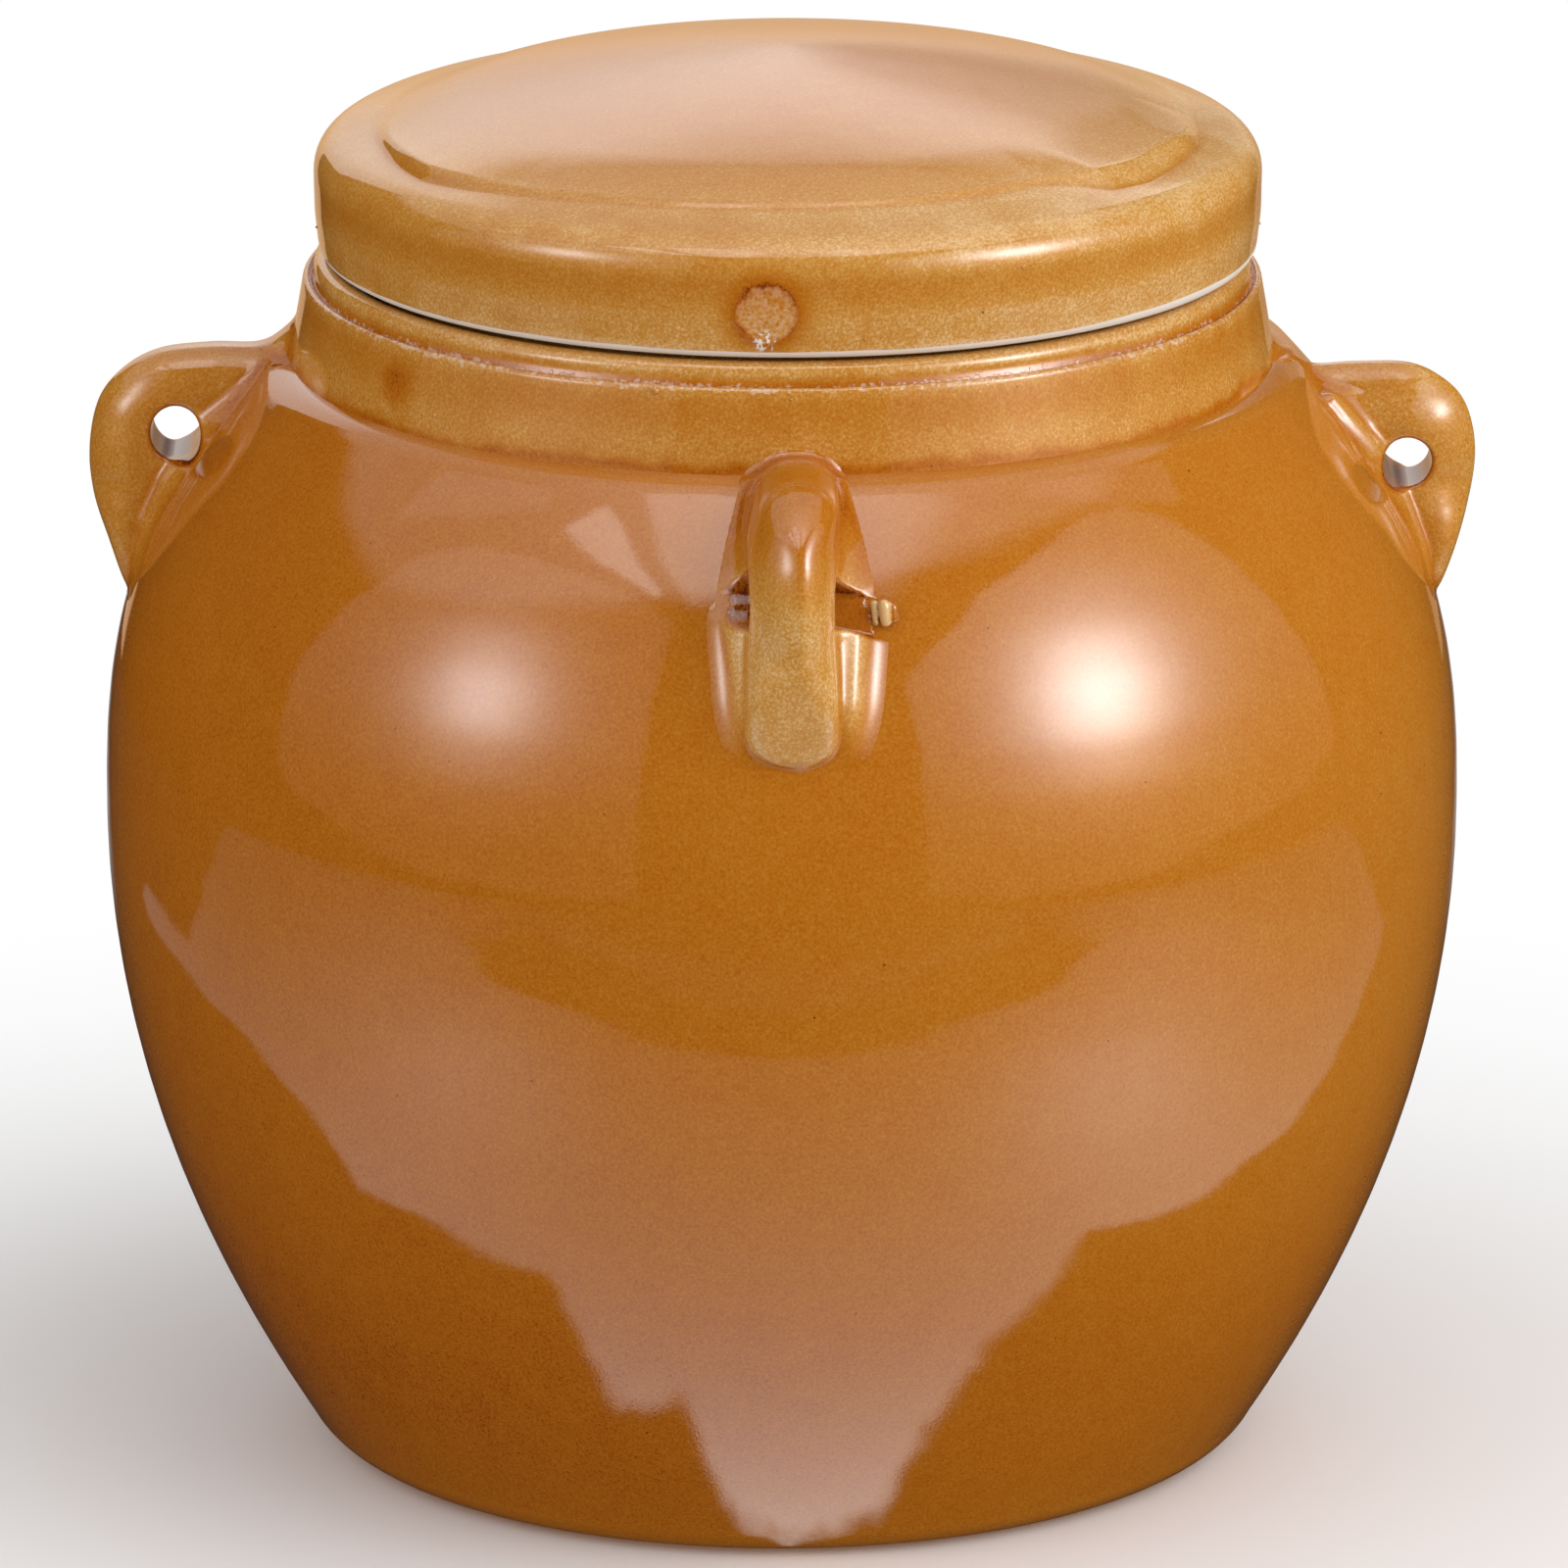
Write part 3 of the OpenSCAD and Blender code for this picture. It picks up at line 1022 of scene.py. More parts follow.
    def _press(self, mesh: bpy.types.Mesh) -> None:
        """Presses the step into the lid's top and lets glaze run into it."""
        points = coordinates(mesh)
        radius = np.hypot(points[:, 0], points[:, 1])
        angle = np.degrees(np.arctan2(points[:, 1], points[:, 0]))
        start, stop = self.sizes.swell_r - 3.3, self.sizes.swell_r - 4.8
        share = np.clip((start - radius) / (start - stop), 0.0, 1.0)
        cone = self.sizes.apex_z - (self.sizes.apex_z - self.crease_z) * radius / self.crease_r
        share *= points[:, 2] > cone - 3.0
        outer = share > 0.0
        points[outer, 2] += share[outer] * (
            self.top_z(radius[outer], angle[outer]) - points[outer, 2])
        move_points(mesh, points)
        pool = np.empty(len(points), dtype=np.float32)
        mesh.attributes[POOL].data.foreach_get("value", pool)
        inward = self.crease_r + self._drawn("shift", angle) - radius
        pool += 0.55 * outer * self._drawn("sharp", angle) * np.exp(-((inward - 0.2) / 0.9) ** 2)
        mesh.attributes[POOL].data.foreach_set("value", pool)

    def _shift(self, mesh: bpy.types.Mesh) -> None:
        """Sets a piece of the lid a little off the jar's middle, as it lies."""
        move_points(mesh, coordinates(mesh) + np.array([self.nudge, 0.0, 0.0]))

    def build(self, wheel: Wheel, kiln: Kiln) -> None:
        """Throws, presses and glazes the lid's two clay parts."""
        cap = wheel.throw("lid_top", self.profile(), 600, kiln.lid, 0.8)
        self._press(cap.data)
        self._shift(cap.data)
        settle(cap, Body.LID, Slot.HONEY, "lid_cap")
        flange = wheel.throw("lid_ring", self.flange_profile(), 240, kiln.collar, 0.5)
        self._shift(flange.data)
        settle(flange, Body.LID, Slot.HONEY, "lid_flange")


def join(first: np.ndarray, second: np.ndarray, width: float) -> np.ndarray:
    """The smooth union of two distance fields, blended over width."""
    near = np.clip(width - np.abs(first - second), 0.0, None) / width
    return np.minimum(first, second) - near ** 3 * (width / 6.0)


def carve(solid: np.ndarray, tool: np.ndarray, width: float) -> np.ndarray:
    """A distance field less the inside of another, blended over width."""
    return -join(-solid, tool, width)


def skin(values: np.ndarray, corner: np.ndarray, step: float) -> tuple[np.ndarray, np.ndarray]:
    """Wraps the zero surface of a sampled field in quads.

    Args:
        values: the field, which is negative inside, on an even grid.
        corner: the grid's first point.
        step: the grid's spacing.

    Returns:
        The points, and the quads as rows of point numbers that face outwards.
    """
    cells = tuple(n - 1 for n in values.shape)
    total = np.zeros(cells + (3,))
    count = np.zeros(cells)
    for axis in range(3):
        across = [a for a in range(3) if a != axis]
        for low in (0, 1):
            for high in (0, 1):
                near = [slice(0, -1)] * 3
                near[across[0]] = slice(low, cells[across[0]] + low)
                near[across[1]] = slice(high, cells[across[1]] + high)
                far = list(near)
                far[axis] = slice(1, None)
                start, stop = values[tuple(near)], values[tuple(far)]
                crossed = (start < 0) != (stop < 0)
                share = np.where(crossed, start / np.where(crossed, start - stop, 1.0), 0.0)
                total[..., axis] += share
                total[..., across[0]] += crossed * low
                total[..., across[1]] += crossed * high
                count += crossed
    used = count > 0
    number = np.full(cells, -1)
    number[used] = np.arange(int(used.sum()))
    base = np.stack(np.nonzero(used), axis=1)
    points = corner + (base + total[used] / count[used][:, None]) * step
    faces = []
    for axis in range(3):
        one, two = (axis + 1) % 3, (axis + 2) % 3
        stop = np.take(values, range(1, values.shape[axis]), axis)
        start = np.take(values, range(values.shape[axis] - 1), axis)
        where = np.stack(np.nonzero((start < 0) != (stop < 0)), axis=1)
        inner = np.all(where[:, [one, two]] > 0, axis=1)
        inner &= (where[:, one] < cells[one]) & (where[:, two] < cells[two])
        where = where[inner]
        ring = []
        for back_one, back_two in ((1, 1), (0, 1), (0, 0), (1, 0)):
            cell = where.copy()
            cell[:, one] -= back_one
            cell[:, two] -= back_two
            ring.append(number[tuple(cell.T)])
        quads = np.stack(ring, axis=1)
        leaving = start[tuple(where.T)] < 0
        quads[~leaving] = quads[~leaving][:, ::-1]
        faces.append(quads)
    return points, np.vstack(faces)


@dataclass(frozen=True)
class Smear:
    """A lump or dent of clay along a short line, in an ear's own frame.

    In that frame +X points away from the jar's axis and Y is across the ear. A
    dent has cut set, and is pressed in instead of raised. One that has pale set
    is drawn pale all over, a painted highlight for the glassy sheen of a shiny lump.
    """

    start: tuple[float, float, float]
    stop: tuple[float, float, float]
    radius: float
    blend: float
    cut: bool = False
    pale: bool = False

    def distance(self, p: np.ndarray) -> np.ndarray:
        """How far the points p are from the smear's face."""
        a, b = np.array(self.start), np.array(self.stop)
        along = b - a
        share = np.clip((p - a) @ along / max(float(along @ along), 1e-9), 0.0, 1.0)
        return np.linalg.norm(p - a - share[:, None] * along, axis=1) - self.radius


@dataclass(frozen=True)
class Flank:
    """The clay that a thumb smears from one side of an ear on to the jar.

    side is +1 or -1. Beside the hole it is an apron that slopes from the strap
    down to the jar, and below the hole a round ridge. reach is how much wider or
    narrower the apron is than usual, sink how far its top lies below the front
    ear's, and high and low the ridge's distance from the ear's middle at its two
    ends.
    """

    side: float
    reach: float = 0.0
    high: float = 8.0
    low: float = 6.2
    height: float = 2.0
    spread: float = 1.8
    apron: float = 4.2
    sink: float = 0.0

    heights: ClassVar[tuple[float, ...]] = (126.0, 134.0, 145.0, 151.0, 157.0, 163.0, 167.0)
    widths: ClassVar[tuple[float, ...]] = (6.6, 8.0, 11.0, 11.4, 9.9, 8.0, 6.4)
    slopes: ClassVar[tuple[float, ...]] = (0.0, 0.02, 0.30, 0.90, 1.0, 0.75, 0.0)

    def rise(self, y: np.ndarray, z: np.ndarray) -> np.ndarray:
        """How far the smear lifts the jar's face at these places."""
        far = self.side * y
        z = z + self.sink * np.clip((z - 150.0) / 10.0, 0.0, 1.0)
        width = np.interp(z, self.heights, self.widths) + self.reach
        share = np.clip((width - far) / (width - 4.8), 0.0, 1.2)
        slope = self.apron * np.interp(z, self.heights, self.slopes) * share ** 1.3
        slope = slope * np.clip((167.2 - 0.045 * far ** 2 - z) / 2.5, 0.0, 1.0)
        down = np.clip((150.5 - z) / 24.0, 0.0, 1.0)
        middle = self.high + (self.low - self.high) * down ** 1.3
        across = np.exp(-0.5 * (np.maximum(far - middle, 0.0) / self.spread) ** 2)
        along = np.clip(down * 5.0, 0.0, 1.0) * np.clip((1.0 - down) * 2.2, 0.0, 1.0)
        ridge = self.height * across * along ** 2 * (3.0 - 2.0 * along)
        return np.where(far > 0.0, slope + ridge, 0.0)


@dataclass
class Ear:
    """One applied ear: a strap with a poked hole, smeared on to the shoulder.

    half_t is half the strap's thickness and middle its middle, crest_y is where
    its crest runs, crest how deep its edge is rounded, side how far the rounding
    reaches across, and keel how sharp it is: 2 for an oval, less for a point. pale
    and crown are how much paler than usual the glaze is drawn on its lower and upper
    part: thinner glaze, and on the lower part partly a painted reflection of the lit table.
    """

    name: str
    node: str
    turn: float
    hole: tuple[float, float]
    outline: tuple[tuple[float, float], ...]
    sizes: JarSizes
    collar: Collar
    flanks: tuple[Flank, ...] = (Flank(1.0), Flank(-1.0))
    smears: tuple[Smear, ...] = ()
    hole_stretch: tuple[float, float] = (1.0, 1.0)
    half_t: float = 6.5
    middle: float = 0.0
    crest_y: float = 0.0
    crest: float = 5.0
    side: float = 5.4
    keel: float = 2.0
    dish: float = 0.5
    pale: float = 1.0
    crown: float = 1.0
    step: float = 0.42
    lap: float = 1.2
    table: np.ndarray = field(init=False)
    table_corner: np.ndarray = field(init=False)

    def __post_init__(self) -> None:
        """Tabulates the distance to the outline over the ear's plane."""
        loop = self._spline(np.array(self.outline), 8)
        self.table_corner = loop.min(axis=0) - 14.0
        count = np.ceil((loop.max(axis=0) + 14.0 - self.table_corner) / self.step).astype(int)
        grid = np.stack(np.meshgrid(*(np.arange(n) for n in count), indexing="ij"), axis=-1)
        points = self.table_corner + grid.reshape(-1, 2) * self.step
        nearest = np.full(len(points), 1e9)
        inside = np.zeros(len(points), dtype=bool)
        for a, b in zip(loop, np.roll(loop, -1, axis=0)):
            along = b - a
            share = np.clip((points - a) @ along / (along @ along), 0.0, 1.0)
            gap = points - a - share[:, None] * along
            nearest = np.minimum(nearest, np.hypot(*gap.T))
            crosses = (a[1] > points[:, 1]) != (b[1] > points[:, 1])
            rise = along[1] if along[1] else 1e-9
            inside ^= crosses & (points[:, 0] < a[0] + (points[:, 1] - a[1]) / rise * along[0])
        self.table = np.where(inside, -nearest, nearest).reshape(count)

    @staticmethod
    def _spline(points: np.ndarray, steps: int) -> np.ndarray:
        """A closed smooth curve through points.

        Args:
            points: the points, one row each.
            steps: how many steps run from one point to the next.

        Returns:
            The curve's points.
        """
        before, after = np.roll(points, 1, axis=0), np.roll(points, -1, axis=0)
        beyond = np.roll(points, -2, axis=0)
        parts = []
        for t in np.arange(steps) / steps:
            parts.append(0.5 * (2 * points + (after - before) * t
                                + (2 * before - 5 * points + 4 * after - beyond) * t ** 2
                                + (3 * points - before - 3 * after + beyond) * t ** 3))
        return np.stack(parts, axis=1).reshape(-1, 2)

    def _plan(self, x: np.ndarray, z: np.ndarray) -> np.ndarray:
        """Signed distance to the outline, read from the table."""
        place = (np.stack([x, z], axis=-1) - self.table_corner) / self.step
        limit = np.array(self.table.shape) - 1.001
        place = np.clip(place, 0.0, limit)
        low = place.astype(int)
        share = place - low
        i, j = low[..., 0], low[..., 1]
        u, v = share[..., 0], share[..., 1]
        return ((1 - u) * (1 - v) * self.table[i, j] + u * (1 - v) * self.table[i + 1, j]
                + (1 - u) * v * self.table[i, j + 1] + u * v * self.table[i + 1, j + 1])

    def _pot(self, p: np.ndarray) -> np.ndarray:
        """Distance from the points p to the jar's glazed face."""
        x, y, z = p.T
        s = self.sizes
        radius = np.hypot(x, y) - hand_wobble(np.arctan2(y, x) + math.radians(self.turn), z)
        wall = (radius - s.wall_r(z)) / np.sqrt(1.0 + s.wall_slope(z) ** 2)
        wall = np.maximum(wall, z - s.shoulder_z)
        collar = np.maximum(radius - self.collar.face_r(z), s.shoulder_z - z)
        return join(wall, collar, 0.6)

    def _strap(self, p: np.ndarray) -> np.ndarray:
        """Distance from the points p to the bare strap."""
        x, y, z = p.T
        from_hole = np.hypot(x - self.hole[0], z - self.hole[1])
        half = self.half_t - self.dish * np.exp(-0.5 * (from_hole / 5.5) ** 2)
        low = self._ease((146.0 - z) / 12.0)
        high = self._ease((z - 158.5) / 8.0)
        keel = self.keel + (2.5 - self.keel) * low + (2.1 - self.keel) * high
        crest = self.crest + (3.0 - self.crest) * low + (5.4 - self.crest) * high
        side = self.side + (3.6 - self.side) * low + (6.2 - self.side) * high
        lean = (self.middle - self.crest_y) * (1.0 - high)
        half = half + lean * np.sign(y - self.crest_y)
        tail = np.maximum((134.0 - z) / 6.6, 0.0)
        half = half * (1.0 - np.minimum(tail, 1.0) ** 3.6) ** 0.4
        half = half - 5.0 * np.maximum(tail - 1.0, 0.0)
        side = np.maximum(np.minimum(side, half), 0.4)
        deep = np.maximum(self._plan(x, z) + crest, 0.0) / crest
        wide = np.maximum(np.abs(y - self.crest_y) - (half - side), 0.0) / side
        rounded = (deep ** keel + wide ** keel) ** (1.0 / keel) - 1.0
        return rounded * np.minimum(crest, side)

    @staticmethod
    def _ease(share: np.ndarray) -> np.ndarray:
        """A smooth step from 0 to 1."""
        share = np.clip(share, 0.0, 1.0)
        return share ** 2 * (3.0 - 2.0 * share)

    def _bore(self, p: np.ndarray) -> np.ndarray:
        """Distance from the points p to the poked hole's inside."""
        x, _, z = p.T
        wide, tall = self.hole_stretch
        return np.hypot((x - self.hole[0]) / wide, (z - self.hole[1]) / tall) - self.sizes.hole_r

    def _clay(self, p: np.ndarray) -> tuple[np.ndarray, np.ndarray]:
        """The ear's field, and the jar's own, at the points p.

        Args:
            p: points in the ear's frame, one row each.

        Returns:
            Distance to the jar with its ear, and distance to the bare jar.
        """
        _, y, z = p.T
        pot = self._pot(p)
        rise = sum(flank.rise(y, z) for flank in self.flanks)
        clay = join(self._strap(p), pot - rise, 0.9 + 1.1 * np.clip((z - 129.0) / 8.0, 0.0, 1.0))
        clay = carve(clay, self._bore(p), 0.9)
        for smear in self.smears:
            blend = carve if smear.cut else join
            clay = blend(clay, smear.distance(p), smear.blend)
        lining = np.maximum(np.maximum(pot - 0.25, self._hollow(p) - 0.6), (0.5 - rise) * 0.6)
        return np.minimum(clay, lining), pot

    def _hollow(self, p: np.ndarray) -> np.ndarray:
        """Distance from the points p to the hole and the dents beside it."""
        hollow = self._bore(p)
        for smear in self.smears:
            if smear.cut:
                hollow = np.minimum(hollow, smear.distance(p))
        return hollow

    def _solid(self, p: np.ndarray) -> np.ndarray:
        """The ear's own closed solid: what stands off the jar, and a lap below."""
        clay, pot = self._clay(p)
        proud = np.maximum(pot - clay, 0.0)
        face = clay + 0.09 * np.exp(-proud / 0.09)
        return np.maximum(np.maximum(face, -(pot + self.lap)), (0.006 - proud) * 8.0)

    def _pool(self, p: np.ndarray) -> np.ndarray:
        """How dark the glaze is drawn at the points p: where it gathers, from the field's bend, with painted shade in
        the hole and dents and a painted highlight on pale lumps.
        """
        reach = 1.1
        centre, _ = self._clay(p)
        around = np.zeros(len(p))
        for axis in np.eye(3):
            around += self._clay(p + axis * reach)[0] + self._clay(p - axis * reach)[0]
        bend = (around - 6 * centre) / reach ** 2
        # Painted shade: the hole's bore and the dents are drawn as full pools, partly glaze gathered there and partly
        # the shade inside them.
        inside = np.clip(1.0 - (self._hollow(p) - 0.1) / 0.5, 0.0, 1.0)
        pool = np.maximum(np.clip(-bend * 0.8, -0.35, 0.4), inside)
        for smear in self.smears:
            # Painted highlight: a lump with pale set is drawn pale for the glassy sheen of its shine.
            if smear.pale:
                pool = np.where(smear.distance(p) < 0.25, -0.5, pool)
        return pool

    def build(self, kiln: "Kiln") -> None:
        """Models, glazes and places the ear.

        Args:
            kiln: the glazes.
        """
        s = self.sizes
        low = np.array([s.collar_foot_r - 9.0, -18.0, s.shoulder_z - 46.0])
        high = np.array([s.belly_r + 4.0, 23.0, s.shoulder_z + 10.0])
        count = np.ceil((high - low) / self.step).astype(int)
        grid = np.stack(np.meshgrid(*(np.arange(n) for n in count), indexing="ij"), axis=-1)
        places = low + grid.reshape(-1, 3) * self.step
        near = self._pot(places) > -self.lap - 1.0
        near &= self._pot(places) < 19.0
        sampled = np.ones(len(places))
        sampled[near] = self._solid(places[near])
        sampled = np.pad(sampled.reshape(count), 1, constant_values=1.0)
        points, quads = skin(sampled, low - self.step, self.step)
        for _ in range(2):
            points = self._press_to_face(points)
        turn = math.radians(self.turn)
        spin = np.array([[math.cos(turn), -math.sin(turn), 0.0],
                         [math.sin(turn), math.cos(turn), 0.0], [0.0, 0.0, 1.0]])
        mesh = bpy.data.meshes.new(self.name)
        mesh.from_pydata((points @ spin.T * MM).tolist(), [], quads.tolist())
        mesh.polygons.foreach_set("use_smooth", [True] * len(quads))
        clay, pot = self._clay(points)
        store(mesh, POOL, self._pool(points) * np.clip((pot - clay - 0.12) / 0.4, 0.0, 1.0))
        # The lower part is drawn paler: thinner glaze, and partly a painted reflection of the lit table.
        height = np.clip((points[:, 2] - 151.0) / 10.0, 0.0, 1.0)
        thinner = self.pale + (self.crown - self.pale) * height
        store(mesh, LIFT, thinner * np.clip((pot - clay - 0.1) / 1.6, 0.0, 1.0))
        mesh.materials.append(kiln.ear)
        settle(add_piece(self.name, mesh), Body.JAR, Slot.AMBER, self.node)

    def _press_to_face(self, points: np.ndarray) -> np.ndarray:
        """Moves points on to the solid's face along its slope."""
        tiny = 0.05
        value = self._solid(points)
        slope = np.stack([self._solid(points + axis * tiny) - self._solid(points - axis * tiny)
                          for axis in np.eye(3)], axis=1) / (2 * tiny)
        size = np.maximum((slope ** 2).sum(axis=1), 0.25)
        move = -(value / size)[:, None] * slope
        length = np.linalg.norm(move, axis=1, keepdims=True)
        limit = 0.4 * self.step
        return points + move * np.minimum(1.0, limit / np.maximum(length, 1e-9))


def make_ears(sizes: JarSizes, collar: Collar) -> list[Ear]:
    """Plans the four ears.

    Args:
        sizes: the jar's sizes.
        collar: the collar that they lean on.

    Returns:
        The ears, ready to build.
    """
    mounts = {mount["name"]: mount["pos_m"] for mount in frame["record"]["mounts"]}

    def hole(name: str) -> tuple[float, float]:
        """An ear's hole, as radius and height."""
        x, y, z = mounts[name]
        return math.hypot(x, y) / MM, z / MM

    root = ((66.0, 128.0), (64.0, 150.0))
    left = ((93.6, 124.0), (96.6, 128.6), (99.2, 136.0), (101.6, 143.0), (102.1, 150.0),
            (100.6, 157.0), (96.8, 161.6), (91.5, 164.3), (84.0, 165.2), (76.5, 165.4),
            (71.2, 168.6), (64.0, 169.5)) + root[::-1]
    right = ((93.6, 124.0), (96.6, 128.0), (99.6, 136.0), (101.6, 143.0), (102.2, 150.0),
             (100.6, 156.4), (97.0, 160.2), (92.0, 162.3), (84.0, 162.4), (77.0, 162.3),
             (71.8, 165.8), (64.0, 167.0)) + root[::-1]
    front = ((92.0, 124.0), (96.6, 127.2), (98.4, 131.0), (99.9, 136.0), (101.5, 143.0),
             (102.2, 150.5), (101.0, 158.0), (97.2, 163.4), (91.0, 166.8), (83.0, 167.6),
             (76.5, 167.2), (70.0, 166.6), (64.0, 166.0)) + root[::-1]
    left_marks = (Smear((88.2, 6.2, 147.2), (92.6, 6.0, 139.6), 1.5, 2.6),
                  Smear((80.0, 8.6, 152.9), (82.8, 8.8, 150.2), 2.0, 1.6))
    right_marks = (Smear((83.6, -9.8, 150.2), (86.6, -10.0, 145.2), 0.9, 0.8, cut=True),
                   Smear((80.5, -7.4, 158.2), (86.0, -7.0, 151.2), 1.3, 2.4))
    front_marks = (Smear((88.6, -6.8, 151.8), (88.2, -12.5, 152.4), 2.7, 0.7, cut=True),
                   Smear((88.8, 5.4, 149.2), (88.8, 13.0, 147.6), 3.1, 0.7, cut=True),
                   Smear((87.6, 11.0, 149.4), (88.2, 11.3, 146.7), 0.5, 0.2, pale=True),
                   Smear((88.2, 12.4, 149.3), (88.6, 12.7, 147.0), 0.8, 0.2, pale=True),
                   Smear((88.0, 13.6, 148.8), (88.2, 13.7, 147.4), 0.9, 0.2),
                   Smear((87.4, 14.6, 148.2), (86.0, 18.5, 147.0), 0.5, 1.2, cut=True))
    return [
        Ear("ear_lug_left", "ear_left", 180.0, hole("left_ear_hole"), left, sizes, collar,
            smears=left_marks, hole_stretch=(1.02, 1.12), crest=6.5, side=6.2, keel=1.7,
            flanks=(Flank(-1.0, sink=2.6), Flank(1.0, sink=2.6, height=1.3))),
        Ear("ear_lug_right", "ear_right", 0.0, hole("right_ear_hole"), right, sizes, collar,
            smears=right_marks, crest=8.5, side=7.5, keel=1.5, dish=0.9,
            flanks=(Flank(-1.0, sink=5.0, height=1.2), Flank(1.0, sink=5.0))),
        Ear("ear_lug_front", "ear_front", -88.7, hole("front_ear_hole"), front, sizes, collar,
            smears=front_marks, middle=-0.7, crest_y=0.5, crest=8.0, side=8.0, keel=1.6,
            flanks=(Flank(-1.0), Flank(1.0, high=8.6, low=6.4)), pale=1.5, crown=0.05),
        Ear("ear_lug_back", "ear_back", 90.0, hole("back_ear_hole"), front, sizes, collar,
            crest=7.0, side=7.0, keel=1.8, pale=1.1, crown=0.5),
    ]


def aim(turn: float, lift: float) -> np.ndarray:
    """The unit vector to a place in the room.

    Args:
        turn: degrees from the camera's side towards +X.
        lift: degrees above the horizon.

    Returns:
        The vector.
    """
    turn, lift = math.radians(turn), math.radians(lift)
    return np.array([math.sin(turn) * math.cos(lift), -math.cos(turn) * math.cos(lift),
                     math.sin(lift)])


@dataclass(frozen=True)
class Glow:
    """A round soft glow in a direction, given by its turn, lift and spread."""

    turn: float
    lift: float
    spread: float
    strength: float


@dataclass(frozen=True)
class Panel:
    """A lit panel with straight edges, seen from the jar.

    Its corners are turns and lifts in degrees, in order round a convex shape.
    edge is how far its outline fades, in degrees.
    """

    corners: tuple[tuple[float, float], ...]
    base: float
    glows: tuple[Glow, ...] = ()
    edge: float = 0.4


LEFT_BOX = Panel(
    ((-94.5, -2), (-95.5, 12), (-91, 28), (-86, 37.5), (-79, 44), (-64, 48.3), (-50, 49.2),
     (-24.5, 45.5), (-24.5, -9), (-60, -9.5), (-76, -8), (-88, -5)),
    0.42, (Glow(-56, 22.5, 6.8, 6.4), Glow(-57, 21.5, 13.0, 2.2)))
RIGHT_BOX = Panel(
    ((24, -8), (24, 33), (45, 45.5), (66, 48.3), (85, 46.5), (92, 44), (99.5, 35), (104, 20),
     (107.5, 2), (107, -4.5), (88, -7.5), (60, -10.2)),
    0.50, (Glow(59.5, 22.0, 7.8, 14.5), Glow(60.5, 22.0, 14.5, 5.2)))
PANELS = (
    LEFT_BOX, RIGHT_BOX,
    Panel(((-62.8, 53.3), (-58.5, 60.5), (-41, 55.8), (-29.5, 50), (-29.5, 48.2), (-45, 52)),
          2.7, edge=0.3),
    Panel(((-57, 63.5), (-44, 76), (-10, 70), (-12, 50), (-25, 48), (-34, 56.5)), 1.9,
          edge=0.9),
    Panel(((25, 50), (56, 61.5), (52, 70), (20, 75), (14, 55)), 1.5, edge=3.5),
    Panel(((-101, 46), (-98.5, 37.5), (-84, 46), (-71, 54.5), (-76, 57)), 0.50, edge=0.7),
    Panel(((110, 40), (104, 36.5), (92, 44), (77, 55), (84, 56)), 0.55, edge=0.7),
)


